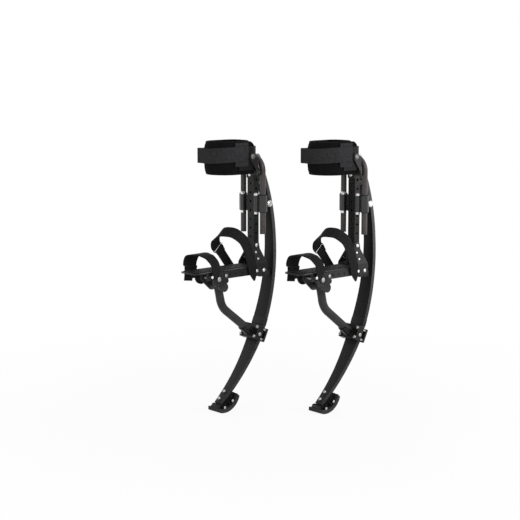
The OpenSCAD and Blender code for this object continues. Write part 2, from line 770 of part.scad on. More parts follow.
module hoof_core() {
    color("#161617") difference() {
        behind_spring(sole_w) intersection() {
            union() {
                cross_rod(sole_xz, 2 * (sole_r - sole_t), -core_half_w, core_half_w);
                // Ribs that carry the sole's overhanging edges
                for (xz = side_bolt_xz) cross_rod(xz, 13, -rib_half_w, rib_half_w);
                intersection() {
                    cross_rod(sole_xz, 2 * (sole_r - sole_t), -rib_half_w, rib_half_w);
                    side_plate(-sole_w, 2 * sole_w) translate(sole_xz + [19, -34]) rotate([0, 0, 48])
                        square([4, 90], center = true);
                }
            }
            cross_rod(sole_xz, 2 * (sole_r - sole_t), -sole_w, sole_w);
            side_plate(-sole_w, 2 * sole_w) hoof_outline();
        }
        for (at = hoof_bolt_at) at_arc(tip_angle + at * mm_to_deg) rotate([0, 90, 0])
            cylinder(d = hoof_bolt_d, h = 4 * spring_t, center = true);
        for (xz = side_bolt_xz) cross_rod(xz, side_bolt_d, -sole_w, sole_w);
    }
}

module hoof_bolts() {
    color("#e4e4e2") {
        for (at = hoof_bolt_at) at_arc(tip_angle + at * mm_to_deg) rotate([0, -90, 0])
            bolt(hoof_bolt_d, -half_t - 6, half_t + spring_gap, 12, 8, 0);
        for (xz = side_bolt_xz) cross_bolt(xz, side_bolt_d, -rib_half_w, rib_half_w, 10, 3, 3);
    }
}

// Knee cuff and its bracket

// Flat outline of the bracket's outside, drawn in by inset: back face, slant past the cuff's corner, side
module bracket_plan(inset) {
    w = bracket_arm_y + bracket_arm_t - inset;
    back = -bracket_web_x - inset;
    reach = cuff_corner_r + bracket_clear + bracket_arm_t - inset;
    slant = cuff_half_w - cuff_back_x - 2 * cuff_corner_r + reach * sqrt(2);
    front = -cuff_pivot_x - bracket_arm_r;
    polygon([[front, -w], [slant - w, -w], [back, back - slant], [back, slant - back], [slant - w, w], [front, w]]);
}

module cuff_bracket() {
    pivot = [-cuff_pivot_x, cuff_pivot_z];
    foot = [-bracket_web_x - bracket_web_r, bracket_web_z];
    color("#2f2f31") difference() {
        union() {
            intersection() {
                linear_extrude(2 * cuff_pivot_z) difference() {
                    bracket_plan(0);
                    bracket_plan(bracket_arm_t);
                }
                // Arms that rise from the web to the cuff's pivots
                side_plate(-2 * cuff_half_w, 4 * cuff_half_w) {
                    tangent_link(pivot, bracket_arm_r, foot, bracket_web_r);
                    translate(foot - [0, bracket_web_r]) square([bracket_web_r, 2 * bracket_web_r]);
                }
            }
            translate([-bracket_web_x - bracket_arm_t, -bar_w / 2, bracket_low_z])
                cube([bracket_arm_t, bar_w, bracket_high_z - bracket_low_z]);
        }
        cross_rod(pivot, cuff_bolt_d + 2 * pin_gap, -2 * cuff_half_w, 2 * cuff_half_w);
        for (row = bracket_bolt_rows)
            translate([-2 * bar_d, 0, front_row_z + row * bar_pitch]) rotate([0, 90, 0])
                cylinder(d = slider_bolt_d, h = 2 * bar_d);
    }
}

// Flat outline of the cuff, drawn in by inset
module cuff_plan(inset) {
    r = cuff_half_w - inset;
    corner = cuff_corner_r - inset;
    corner_x = -cuff_back_x - cuff_corner_r;
    corner_y = cuff_half_w - cuff_corner_r;
    translate([-cuff_front_x, 0]) circle(r);
    translate([-cuff_front_x, -r]) square([cuff_front_x + corner_x, 2 * r]);
    for (side = [-1, 1]) translate([corner_x, side * corner_y]) circle(corner);
    translate([corner_x, -corner_y]) square([corner, 2 * corner_y]);
}

module cuff_ring(out, in, z, h) {
    translate([0, 0, z]) linear_extrude(h) difference() {
        cuff_plan(out);
        cuff_plan(in);
    }
}

module cuff_shell() {
    color("#1d1d1e") difference() {
        union() {
            intersection() {
                cuff_ring(0, shell_t, shell_low_z, shell_h);
                translate([-shell_front_x, -cuff_half_w - cut, 0])
                    cube([shell_front_x, 2 * (cuff_half_w + cut), bar_top_z + pad_h]);
            }
            each_side() cross_rod([-cuff_pivot_x, cuff_pivot_z], 2 * bracket_arm_r, cuff_half_w - shell_t,
                bracket_arm_y - run_gap);
        }
        cross_rod([-cuff_pivot_x, cuff_pivot_z], cuff_bolt_d + 2 * pin_gap, -2 * cuff_half_w, 2 * cuff_half_w);
        // Flat seat for the nut
        each_side() cross_rod([-cuff_pivot_x, cuff_pivot_z], 19, cuff_half_w - shell_t - 3, cuff_half_w - shell_t);
    }
}

// Half section of the pad: a crowned cushion with a sewn edge above and below
module pad_section(t) {
    edge = 9;
    crown = 3;
    rows = [for (i = [0 : 10]) i / 10];
    polygon(concat(
        [[0.6 * t, 0], [0, 2], [0, pad_h - 2], [0.6 * t, pad_h]],
        [[t - 2, pad_h], [t - 4, pad_h - edge]],
        [for (k = rows) [t - crown + crown * sin(180 * k), pad_h - edge - (pad_h - 2 * edge) * k]],
        [[t - 4, edge], [t - 2, 0]]));
}

// The pad's section carried round the cuff, with its back face inset from the cuff's outline
module pad_run(inset) {
    r = cuff_half_w - inset;
    corner = cuff_corner_r - inset;
    corner_x = -cuff_back_x - cuff_corner_r;
    corner_y = cuff_half_w - cuff_corner_r;
    translate([-cuff_front_x, 0, pad_low_z]) rotate([0, 0, 90]) rotate_extrude(angle = 180)
        translate([r, 0]) mirror([1, 0]) pad_section(pad_t);
    for (side = [-1, 1]) {
        translate([corner_x, side * corner_y, pad_low_z]) rotate([0, 0, side > 0 ? 0 : -90])
            rotate_extrude(angle = 90) translate([corner, 0]) mirror([1, 0]) pad_section(pad_t);
        translate([side > 0 ? -cuff_front_x : corner_x, side * r, pad_low_z])
            rotate([90, 0, side > 0 ? 90 : -90]) linear_extrude(cuff_front_x + corner_x)
                mirror([1, 0]) pad_section(pad_t);
    }
    translate([corner_x + corner, corner_y, pad_low_z]) rotate([90, 0, 0]) linear_extrude(2 * corner_y)
        mirror([1, 0]) pad_section(pad_t);
}

module cuff_pad() {
    color("#121213") difference() {
        pad_run(shell_t);
        each_side() cross_rod([-cuff_pivot_x, cuff_pivot_z], 20, cuff_half_w - shell_t - 7, cuff_half_w);
    }
}

module cuff_strap() {
    color("#333335") {
        intersection() {
            cuff_ring(-web_t, 0, panel_low_z, panel_h);
            union() {
                translate([-panel_front_x, -2 * cuff_half_w, panel_low_z])
                    cube([panel_front_x - panel_back_x, 4 * cuff_half_w, panel_h]);
                translate([-2 * cuff_half_w - cuff_front_x, -2 * cuff_half_w, knee_strap_z])
                    cube([2 * cuff_half_w + cuff_front_x - panel_back_x, 4 * cuff_half_w, knee_strap_w]);
            }
        }
        // Folded end that stands out where the strap turns back through its loop
        translate([-cuff_front_x, 0, knee_strap_z + 1]) rotate([0, 0, 180 - loop_angle])
            translate([cuff_half_w + web_t / 2, -1.5 * web_t, 0]) cube([loop_len, 3 * web_t, knee_strap_w - 2]);
    }
}

module cuff_bolts() {
    color("#d9d9d6") each_side() translate([-cuff_pivot_x, 0, cuff_pivot_z]) rotate([-90, 0, 0])
        bolt(cuff_bolt_d, cuff_half_w - shell_t, bracket_arm_y + bracket_arm_t + run_gap, 17, 6, 5);
}

// Straps over the shoe, their rings and bolts

// Arch of webbing, legs down to the base: half width w, height h
module arch(w, h, t) {
    difference() {
        intersection() {
            union() {
                translate([0, h - w]) circle(w);
                translate([-w, 0]) square([2 * w, h - w]);
            }
            translate([-w, 0]) square([2 * w, h]);
        }
        translate([0, h - w]) circle(w - t);
        translate([-w + t, -cut]) square([2 * (w - t), h - w + cut]);
    }
}

module toe_strap() {
    back_x = pivot_x + bracket_r + cut;
    front_x = toe_strap_x + toe_strap_w / 2;
    color("#2d2d2f") difference() {
        union() {
            translate([-front_x, 0, toe_strap_low_z]) rotate([90, 0, 90])
                linear_extrude(toe_strap_w) arch(toe_half_w, toe_strap_top_z - toe_strap_low_z, web_t);
            // Thick folded end on the far side
            translate([-front_x - 38, toe_half_w - 2, toe_ring_z + 2]) cube([toe_strap_w + 36, 8, 32]);
            // Feet of the legs, turned in against the flanges
            each_side() translate([-front_x, plate_w / 2, toe_strap_low_z])
                cube([front_x - back_x, toe_half_w - plate_w / 2 - cut, 14]);
        }
        strap_bolt_holes();
    }
}

// Holes for the bolts that hold the straps
module strap_bolt_holes() {
    cross_rod(toe_bolt_xz, strap_bolt_d, -plate_w, plate_w);
    cross_rod(ankle_bolt_xz, strap_bolt_d, -plate_w, plate_w);
}

// The ankle strap's own leaning frame
module ankle_frame() {
    translate([-ankle_strap_x, 0, ankle_base_z]) rotate([0, -ankle_lean, 0]) children();
}

module ankle_strap() {
    color("#2d2d2f") difference() {
        union() {
            ankle_frame() {
                translate([-ankle_strap_w / 2, 0, 0]) rotate([90, 0, 90]) linear_extrude(ankle_strap_w)
                    arch(ankle_half_w, ankle_len, web_t);
                each_side() side_plate(ankle_half_w - web_t, web_t)
                    polygon([[-ankle_strap_w / 2, 0], [ankle_strap_w / 2, 0], [0, -ankle_tip]]);
                translate([-ankle_strap_w / 2 - 4, ankle_half_w - 2, ankle_ring_h + 4])
                    cube([ankle_strap_w + 4, 8, 36]);
            }
            // Tab round the bolt
            each_side() side_plate(ankle_half_w - web_t, web_t)
                tangent_link(ankle_bolt_xz, 9, [-ankle_strap_x - 12, ankle_base_z + 28], 14);
        }
        strap_bolt_holes();
    }
}

module strap_rings() {
    color("#c4c4c2") {
        translate([-toe_strap_x, toe_half_w - web_t, toe_ring_z]) strap_ring(toe_strap_w);
        ankle_frame() translate([0, ankle_half_w - web_t, ankle_ring_h]) strap_ring(ankle_strap_w);
    }
}

// Flat wire loop on the inner face of a strap
module strap_ring(w) {
    rotate([0, 90, 0]) translate([0, -ring_d / 2, -w / 2]) cylinder(d = ring_d, h = w);
}

module strap_bolts() {
    color("#e4e4e2") each_side() {
        translate([toe_bolt_xz[0], toe_half_w, toe_bolt_xz[1]]) rotate([-90, 0, 0])
            bolt(strap_bolt_d, plate_w / 2 - flange_t - toe_half_w, 0, 10, 3, 3);
        translate([ankle_bolt_xz[0], ankle_half_w, ankle_bolt_xz[1]]) rotate([-90, 0, 0])
            bolt(strap_bolt_d, plate_w / 2 - flange_t - ankle_half_w, 0, 10, 3, 3);
    }
}

left() foot_plate();  // left_foot_plate
left() grip_mat();  // left_grip_mat
left() heel_plates();  // left_heel_plates
left() knee_bar();  // left_knee_bar
left() slider_block();  // left_slider_block
left() cuff_bracket();  // left_cuff_bracket
left() toe_strap();  // left_toe_strap
left() ankle_strap();  // left_ankle_strap
left() pivot_brackets();  // left_pivot_brackets
left() swing_arm();  // left_swing_arm
left() clamp_front();  // left_clamp_front
left() clamp_back();  // left_clamp_back
left() clamp_bolts();  // left_clamp_bolts
left() leaf_spring();  // left_leaf_spring
left() spring_wrap();  // left_spring_wrap
left() spring_clip();  // left_spring_clip
left() clip_bolts();  // left_clip_bolts
left() u_bar();  // left_u_bar
left() spring_hanger();  // left_spring_hanger
left() hoof_sole();  // left_hoof_sole
left() hoof_core();  // left_hoof_core
left() hoof_bolts();  // left_hoof_bolts
left() cuff_shell();  // left_cuff_shell
left() cuff_pad();  // left_cuff_pad
left() cuff_strap();  // left_cuff_strap
left() cuff_bolts();  // left_cuff_bolts
right() foot_plate();  // right_foot_plate
right() grip_mat();  // right_grip_mat
right() heel_plates();  // right_heel_plates
right() knee_bar();  // right_knee_bar
right() slider_block();  // right_slider_block
right() cuff_bracket();  // right_cuff_bracket
right() toe_strap();  // right_toe_strap
right() ankle_strap();  // right_ankle_strap
right() pivot_brackets();  // right_pivot_brackets
right() swing_arm();  // right_swing_arm
right() clamp_front();  // right_clamp_front
right() clamp_back();  // right_clamp_back
right() clamp_bolts();  // right_clamp_bolts
right() leaf_spring();  // right_leaf_spring
right() spring_wrap();  // right_spring_wrap
right() spring_clip();  // right_spring_clip
right() clip_bolts();  // right_clip_bolts
right() u_bar();  // right_u_bar
right() spring_hanger();  // right_spring_hanger
right() hoof_sole();  // right_hoof_sole
right() hoof_core();  // right_hoof_core
right() hoof_bolts();  // right_hoof_bolts
right() cuff_shell();  // right_cuff_shell
right() cuff_pad();  // right_cuff_pad
right() cuff_strap();  // right_cuff_strap
right() cuff_bolts();  // right_cuff_bolts
both() frame_bolts();
both() strap_bolts();
both() strap_rings();
both() slider_bolts();
both() slider_bushes();
both() pivot_axles();
both() heel_bumper();  // heel_bumpers
both() spring_rest();  // spring_rests
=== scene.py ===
"""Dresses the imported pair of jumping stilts: straps, pads, springs and finishes, with its stage."""

import json
import math

import bmesh
import bpy
import numpy as np
from bpy.props import FloatProperty, FloatVectorProperty, PointerProperty
from bpy.types import Operator, Panel, PropertyGroup
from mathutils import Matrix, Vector


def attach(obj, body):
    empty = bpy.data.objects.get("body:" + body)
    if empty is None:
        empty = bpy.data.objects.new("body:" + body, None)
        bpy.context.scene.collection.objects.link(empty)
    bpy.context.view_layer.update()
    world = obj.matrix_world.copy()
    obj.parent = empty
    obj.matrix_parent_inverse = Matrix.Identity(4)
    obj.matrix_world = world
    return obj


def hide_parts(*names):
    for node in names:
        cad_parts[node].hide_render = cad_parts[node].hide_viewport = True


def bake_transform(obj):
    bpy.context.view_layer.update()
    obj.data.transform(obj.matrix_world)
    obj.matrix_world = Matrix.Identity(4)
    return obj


bl_info = {
    "name": "Jumping stilts",
    "version": (1, 0, 0),
    "blender": (4, 5, 0),
    "location": "3D View > Sidebar > Stilts",
    "description": "Straps, pads, springs and finishes of a pair of jumping stilts",
    "category": "Object",
}

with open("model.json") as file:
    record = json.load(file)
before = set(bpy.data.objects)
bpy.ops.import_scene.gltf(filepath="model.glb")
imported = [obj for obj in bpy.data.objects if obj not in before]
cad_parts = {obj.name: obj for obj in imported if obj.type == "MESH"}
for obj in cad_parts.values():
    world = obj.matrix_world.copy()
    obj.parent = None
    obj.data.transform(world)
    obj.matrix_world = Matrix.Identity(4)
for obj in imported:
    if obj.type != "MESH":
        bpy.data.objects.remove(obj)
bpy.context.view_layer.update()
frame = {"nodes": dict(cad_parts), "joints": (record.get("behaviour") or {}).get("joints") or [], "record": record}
SIDES = ("left", "right")
MM = 0.001

# Sizes of the part's source in millimetres, which every piece here is fitted to
BOW_R, BOW_X, BOW_Z = 692.0, 82.0, 556.0
SPRING_T = 15.0
SPRING_TOP, SPRING_MID, SPRING_LOW = 45.0, 60.0, 24.0
EYE_Z, TIP_Z, CLAMP_Z = 835.0, 27.0, 253.0
PIVOT_AHEAD = 198.0
CUFF_HALF_W, CUFF_FRONT, CUFF_BACK, CUFF_CORNER = 70.0, 130.0, 28.0, 40.0
SHELL_T, PAD_T, PAD_H, PAD_LOW = 4.0, 14.0, 112.0, 824.0
PAD_CROWN, PAD_DIP, STRAP_Z = 6.5, 14.0, 888.0
PLATE_Z, PLATE_W = 501.0, 88.0

# Spacing of the points along a strap in millimetres, and a band's edge radius as a share of its thickness
STRAP_STEP, BAND_EDGE = 1.5, 0.42
AHEAD, ACROSS, UP = np.eye(3)


def stilt_origin(side):
    """Where a stilt's knee bar stands on the ground, from its arm's pivot, in millimetres."""
    pivot = next(j["pos_m"] for j in frame["joints"] if j["name"] == side + "_arm_swing")
    return np.array([pivot[0] / MM + PIVOT_AHEAD, pivot[1] / MM, 0.0])


ORIGIN = {side: stilt_origin(side) for side in SIDES}


# Surfaces


def grid_faces(rows, columns, close_rows=False, close_columns=False):
    """Quads of a rows by columns grid: a point, the next in its row, and the two in the row after."""
    r = np.arange(rows if close_rows else rows - 1)
    c = np.arange(columns if close_columns else columns - 1)
    r, c = np.meshgrid(r, c, indexing="ij")
    r2, c2 = (r + 1) % rows, (c + 1) % columns
    quads = np.stack([r * columns + c, r * columns + c2, r2 * columns + c2, r2 * columns + c], -1)
    return quads.reshape(-1, 4)


def piece_from(name, points, faces, caps=(), uv=None, smooth=True):
    """A mesh object at the origin from millimetre points, quads and end caps, with a uv per point."""
    mesh = bpy.data.meshes.new(name)
    polygons = np.asarray(faces).tolist() + [list(cap) for cap in caps]
    mesh.from_pydata((np.asarray(points) * MM).tolist(), [], polygons)
    if uv is not None:
        loop_vertex = np.zeros(len(mesh.loops), np.int32)
        mesh.loops.foreach_get("vertex_index", loop_vertex)
        layer = mesh.uv_layers.new(name="cloth_mm")
        layer.data.foreach_set("uv", np.asarray(uv, np.float32)[loop_vertex].ravel())
    mesh.validate()
    mesh.update()
    mesh.polygons.foreach_set("use_smooth", np.full(len(mesh.polygons), smooth))
    obj = bpy.data.objects.new(name, mesh)
    bpy.context.scene.collection.objects.link(obj)
    return obj


def circle(radius, sides):
    """Points of a circle: radius times cosine and sine of even turns."""
    turn = np.linspace(0, 2 * np.pi, sides, endpoint=False)
    return radius * np.stack([np.cos(turn), np.sin(turn)], -1)


def rounded_rectangle(half_a, half_b, radius, corner=5):
    """Closed outline of a rectangle with round corners: each corner's centre plus a quarter turn of radius.
    half_a and half_b may be arrays, one rectangle for each."""
    quarters = np.arange(4) * 0.5 * np.pi
    turn = np.concatenate([np.linspace(q, q + 0.5 * np.pi, corner) for q in quarters])
    sign_a = np.repeat([1, -1, -1, 1], corner)
    sign_b = np.repeat([1, 1, -1, -1], corner)
    half_a, half_b = np.broadcast_arrays(np.asarray(half_a, float), np.asarray(half_b, float))
    a = sign_a * (half_a[..., None] - radius) + radius * np.cos(turn)
    b = sign_b * (half_b[..., None] - radius) + radius * np.sin(turn)
    return np.stack([a, b], -1)


def sweep(path, side, normal, outline, closed=False):
    """Carries an outline along a path: point = path + outline a times normal + outline b times side. Side
    and normal are one direction or one for each point. Returns points, quads, end caps and uv."""
    n, m = len(path), outline.shape[-2]
    side, normal = np.broadcast_to(side, path.shape), np.broadcast_to(normal, path.shape)
    outline = np.broadcast_to(outline, (n, m, 2))
    points = path[:, None] + outline[..., :1] * normal[:, None] + outline[..., 1:] * side[:, None]
    faces = grid_faces(n, m, close_rows=closed, close_columns=True)
    caps = () if closed else (range(m - 1, -1, -1), range((n - 1) * m, n * m))
    uv = np.stack([np.broadcast_to(run_lengths(path)[:, None], (n, m)), outline[..., 1]], -1)
    return points.reshape(-1, 3), faces, caps, uv.reshape(-1, 2)


def run_lengths(points):
    """Length of a line of points up to each of them."""
    return np.concatenate([[0], np.cumsum(np.linalg.norm(np.diff(points, axis=0), axis=1))])


def smooth_step(value, start, end):
    """0 before start, 1 after end, and between them t squared times 3 - 2 t, with t the share of the way."""
    t = np.clip((value - start) / (end - start), 0, 1)
    return t * t * (3 - 2 * t)


def settle(obj, body, slot, *nodes, finish=None):
    """Gives a piece its own finish or its slot's, its body, its slot and the solids that it stands for."""
    obj.data.materials.clear()
    obj.data.materials.append(FINISH[finish or slot])
    fix_normals(obj)
    if body:
        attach(obj, body)
    if nodes:
        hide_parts(*nodes)


def fix_normals(obj):
    """Turns every closed surface's faces outwards."""
    work = bmesh.new()
    work.from_mesh(obj.data)
    bmesh.ops.recalc_face_normals(work, faces=work.faces)
    work.to_mesh(obj.data)
    work.free()


def apply_modifiers(context, obj):
    """Makes the mesh what its modifiers give at this frame, and takes them off."""
    graph = context.evaluated_depsgraph_get()
    mesh = bpy.data.meshes.new_from_object(obj.evaluated_get(graph))
    old = obj.data
    obj.modifiers.clear()
    obj.data = mesh
    bpy.data.meshes.remove(old)


# Finishes

# Widths of the finishes' patterns in millimetres
BLOTCH, WORN_EDGE, CLOUD, FUZZ, PUCKER, BASKET, FIBRE = 60, 1.5, 5, 6, 18, 2.2, 9
# Spacing of the webbing's picks along the strap as a share of its yarns' spacing
PICK_SHARE = 1.6
# Heights in metres between which the spring's faces turn paler and its edges darker, more and more downwards
TONE_SHIFT_FROM, TONE_SHIFT_TO = 0.6, 0.3
# Colour sockets of a Mix node: both inputs and the result
MIX_A, MIX_B, MIX_OUT = 6, 7, 2

# Coats by slot or own name: the material's name, its dark, light and worn tones, its grain's width and depth
# in millimetres, roughness and specular level
COATS = {
    # Powder coat on steel: satin black with a fine orange peel
    "black_steel": ("black_powder_coat", "#121213", "#212123", "#454547", 2.5, 0.25, 0.42, 0.3),
    # The same coat on the swing arms with little gloss, painted paler: its paler tone is painted sheen
    "arm_steel": ("painted_sheen_powder_coat", "#2f2f30", "#464648", "#58585a", 2.5, 0.2, 0.4, 0.1),
    # Anodised aluminium: nearly black with a slight green cast and rubbed corners
    "black_aluminium": ("black_anodised_aluminium", "#0b0b0b", "#151615", "#5c5d5b", 3.5, 0.1, 0.34, 0.24),
    # The same on the drawn sleeves of the slider blocks, which are polished first and stay glossy
    "sleeve_aluminium": ("glossy_anodised_aluminium", "#121212", "#1e1f1e", "#6a6b69", 3.5, 0.05, 0.22, 0.62),
    # Enamel on tube: dark warm grey, glossier than powder coat
    "grey_steel": ("warm_grey_enamel", "#3b3534", "#4c4645", "#706a68", 4.0, 0.1, 0.3, 0.4),
    # Nitrile rubber, moulded: nearly black and dull
    "black_rubber": ("black_nitrile_rubber", "#0d0d0d", "#171717", "#222222", 2.0, 0.4, 0.75, 0.2),
    # Vinyl tape wound over the spring: a plain black film with a soft gloss
    "tape": ("black_vinyl_tape", "#161617", "#222223", "#2c2c2e", 3.0, 0.2, 0.5, 0.25),
    # Natural rubber with filler: dark grey, scuffed paler on edges
    "grey_rubber": ("grey_filled_rubber", "#262628", "#38383a", "#5a5a5c", 3.0, 0.5, 0.7, 0.2),
    # Moulded nylon plastic: black with a fine spark texture
    "black_plastic": ("black_moulded_nylon", "#0b0b0c", "#131314", "#262628", 1.8, 0.2, 0.5, 0.15),
}
# Plated steels: the material's name, its dark and light tones, its least and most roughness
PLATED = {
    # Bright zinc plate on bolts and fittings: nearly white under a studio light
    "zinc_steel": ("zinc_plated_steel", "#cfcfca", "#f2f2f0", 0.22, 0.42),
    # Phosphate coat on bolts: mid grey and dull
    "dull_steel": ("phosphated_steel", "#6f6f6e", "#8c8c8a", 0.4, 0.6),
    # Zinc plate worn dull on the axles, the clamps' and hoofs' bolts, the springs' clips and their hangers
    "worn_steel": ("worn_zinc_plate", "#8f8f8c", "#bcbcb8", 0.3, 0.5),
}
# Webbings: the material's name, its dark and light tones, its yarns' spacing in millimetres
WEBBINGS = {
    # Polyester webbing of the shoe straps: black and dull, with a visible rib
    "black_webbing": ("black_polyester_webbing", "#121213", "#29292b", 3.0),
    # The same on the knee straps, faded to charcoal
    "charcoal_webbing": ("charcoal_polyester_webbing", "#222224", "#3c3c3e", 3.0),
}
# Solids whose finish differs from the others of their slot
OWN_FINISH = {"swing_arm": "arm_steel", "slider_block": "sleeve_aluminium"}
for worn in ("pivot_axles", "spring_clip", "spring_hanger", "clamp_bolts", "hoof_bolts"):
    OWN_FINISH[worn] = "worn_steel"
FINISH = {}


def linear(text):
    """Linear colour of an sRGB hex value."""
    c = [int(text[i : i + 2], 16) / 255 for i in (1, 3, 5)]
    return tuple(v / 12.92 if v <= 0.04045 else ((v + 0.055) / 1.055) ** 2.4 for v in c) + (1.0,)


def node(tree, kind, inputs=(), out=0, **properties):
    """Adds a node, sets its properties, and sets or links its inputs, given as {socket: value or output}.
    Returns its first output or the one that out names."""
    made = tree.nodes.new(kind)
    for key, value in properties.items():
        setattr(made, key, value)
    for socket, value in dict(inputs).items():
        if isinstance(value, bpy.types.NodeSocket):
            tree.links.new(value, made.inputs[socket])
        else:
            made.inputs[socket].default_value = value
    return made.outputs[out] if made.outputs else None


def new_material(name, **sockets):
    """A material with one Principled shader, its plain sockets set by name, and its texture coordinates."""
    mat = bpy.data.materials.get(name) or bpy.data.materials.new(name)
    mat.use_nodes = True
    tree = mat.node_tree
    tree.nodes.clear()
    plain = {socket.replace("_", " "): value for socket, value in sockets.items()}
    surface = node(tree, "ShaderNodeBsdfPrincipled", plain)
    node(tree, "ShaderNodeOutputMaterial", {"Surface": surface})
    return mat, tree, surface.node, node(tree, "ShaderNodeTexCoord").node.outputs


def pattern(where, width_mm, **more):
    """Inputs of a texture on the piece's own coordinates, with features of a width in millimetres."""
    return {"Vector": where["Object"], "Scale": 1 / (width_mm * MM), **more}


def dress_shader(tree, shader, tones, relief):
    """Gives a shader the colour of a Mix node and the normal of a Bump node, each from its inputs."""
    colour = node(tree, "ShaderNodeMix", tones, MIX_OUT, data_type="RGBA")
    tree.links.new(colour, shader.inputs["Base Color"])
    tree.links.new(node(tree, "ShaderNodeBump", relief), shader.inputs["Normal"])


def grained_coat(name, dark, light, edge, grain_mm, depth_mm, roughness, specular):
    """A coated surface: two tones mixed by a fine noise times a broad one, the fine noise as bump, and worn
    edges. The edge mask is the angle between the true normal and a normal rounded over WORN_EDGE."""
    mat, tree, shader, where = new_material(name, Roughness=roughness, Specular_IOR_Level=specular)
    noise = node(tree, "ShaderNodeTexNoise", pattern(where, grain_mm, Detail=4.0))
    broad = node(tree, "ShaderNodeTexNoise", pattern(where, BLOTCH, Detail=3.0))
    tone = node(tree, "ShaderNodeMath", {0: noise, 1: broad}, operation="MULTIPLY")
    span = node(tree, "ShaderNodeMapRange", {"Value": tone, "From Min": 0.12, "From Max": 0.4})
    tones = {"Factor": span, MIX_A: linear(dark), MIX_B: linear(light)}
    colour = node(tree, "ShaderNodeMix", tones, MIX_OUT, data_type="RGBA")
    rounded = node(tree, "ShaderNodeBevel", {"Radius": WORN_EDGE * MM}, samples=4)
    true = node(tree, "ShaderNodeNewGeometry", out="Normal")
    lean = node(tree, "ShaderNodeVectorMath", {0: rounded, 1: true}, "Value", operation="DOT_PRODUCT")
    worn = node(tree, "ShaderNodeMapRange", {"Value": lean, "From Min": 0.99, "From Max": 0.75})
    tones = {"Factor": worn, MIX_A: colour, MIX_B: linear(edge)}
    relief = {"Strength": 0.35, "Distance": depth_mm * MM, "Height": noise, "Normal": rounded}
    dress_shader(tree, shader, tones, relief)
    return mat


def plated_steel(name, dark, light, rough_low, rough_high):
    """Turned steel with a thin plating or conversion coat: a metal with cloudy tone and gloss."""
    mat, tree, shader, where = new_material(name, Metallic=1.0)
    cloud = node(tree, "ShaderNodeTexNoise", pattern(where, CLOUD, Detail=5.0))
    tones = {"Factor": cloud, MIX_A: linear(dark), MIX_B: linear(light)}
    rough = node(tree, "ShaderNodeMapRange", {"Value": cloud, "To Min": rough_low, "To Max": rough_high})
    tree.links.new(rough, shader.inputs["Roughness"])
    dress_shader(tree, shader, tones, {"Strength": 0.15, "Distance": 0.2 * MM, "Height": cloud})
    return mat


def woven_webbing(name, dark, light, thread_mm):
    """Polyester webbing: a sine across the strap for the yarns times one along it for the picks, with fuzz.
    The real yarns are near 1 mm and would not show, so they are drawn coarser."""
    mat, tree, shader, where = new_material(name, Roughness=0.85, Specular_IOR_Level=0.12)
    cloth = node(tree, "ShaderNodeUVMap", uv_map="cloth_mm")
    parts = node(tree, "ShaderNodeSeparateXYZ", {"Vector": cloth}).node
    waves = []
    for axis, pitch in (("X", PICK_SHARE * thread_mm), ("Y", thread_mm)):
        turns = {0: parts.outputs[axis], 1: 2 * math.pi / pitch}
        phase = node(tree, "ShaderNodeMath", turns, operation="MULTIPLY")
        waves.append(node(tree, "ShaderNodeMath", {0: phase}, operation="SINE"))
    weave = node(tree, "ShaderNodeMath", {0: waves[0], 1: waves[1]}, operation="MULTIPLY")
    fuzz = node(tree, "ShaderNodeTexNoise", pattern(where, FUZZ, Detail=6.0))
    mixed = node(tree, "ShaderNodeMath", {0: weave, 1: 0.25, 2: fuzz}, operation="MULTIPLY_ADD")
    tint = node(tree, "ShaderNodeMapRange", {"Value": mixed, "From Min": 0.2, "From Max": 0.8})
    tones = {"Factor": tint, MIX_A: linear(dark), MIX_B: linear(light)}
    dress_shader(tree, shader, tones, {"Strength": 0.5, "Distance": 0.5 * MM, "Height": mixed})
    return mat


def padded_cloth():
    """Foam-backed nylon cloth: a close dull basket weave, slightly puckered."""
    mat, tree, shader, where = new_material("padded_nylon_cloth", Roughness=0.9, Specular_IOR_Level=0.08)
    pucker = node(tree, "ShaderNodeTexNoise", pattern(where, PUCKER, Detail=4.0))
    weave = node(tree, "ShaderNodeTexVoronoi", pattern(where, BASKET))
    tones = {"Factor": pucker, MIX_A: linear("#0b0b0c"), MIX_B: linear("#171718")}
    mixed = node(tree, "ShaderNodeMath", {0: weave, 1: 0.3, 2: pucker}, operation="MULTIPLY_ADD")
    dress_shader(tree, shader, tones, {"Strength": 0.5, "Distance": 0.8 * MM, "Height": mixed})
    return mat


def fibre_composite():
    """Pultruded fibre composite, painted black; its ground edges show the paler fibre layers. The mask is
    the normal's sideways part. Towards the clamp the faces turn paler and the edges darker."""
    mat, tree, shader, where = new_material("black_fibre_composite", Roughness=0.45, Specular_IOR_Level=0.15)
    facing = node(tree, "ShaderNodeSeparateXYZ", {"Vector": where["Normal"]}, "Y")
    side = node(tree, "ShaderNodeMath", {0: facing}, operation="ABSOLUTE")
    mask = node(tree, "ShaderNodeMapRange", {"Value": side, "From Min": 0.55, "From Max": 0.9})
    grain = node(tree, "ShaderNodeTexNoise", pattern(where, FIBRE, Detail=5.0))
    height = node(tree, "ShaderNodeSeparateXYZ", {"Vector": where["Object"]}, "Z")
    # Lower on the spring its faces turn paler and its edges darker
    span = {"From Min": TONE_SHIFT_FROM, "From Max": TONE_SHIFT_TO, "To Min": -0.3, "To Max": 0.3}
    low = node(tree, "ShaderNodeMapRange", {"Value": height, **span})
    tone_shift = node(tree, "ShaderNodeMath", {0: grain, 1: low}, operation="ADD", use_clamp=True)
    pairs = []
    for whole, lower_tone in (("#0c0c0d", "#252526"), ("#58585a", "#262628")):
        tones = {"Factor": tone_shift, MIX_A: linear(whole), MIX_B: linear(lower_tone)}
        pairs.append(node(tree, "ShaderNodeMix", tones, MIX_OUT, data_type="RGBA"))
    tones = {"Factor": mask, MIX_A: pairs[0], MIX_B: pairs[1]}
    dress_shader(tree, shader, tones, {"Strength": 0.2, "Distance": 0.3 * MM, "Height": grain})
    return mat


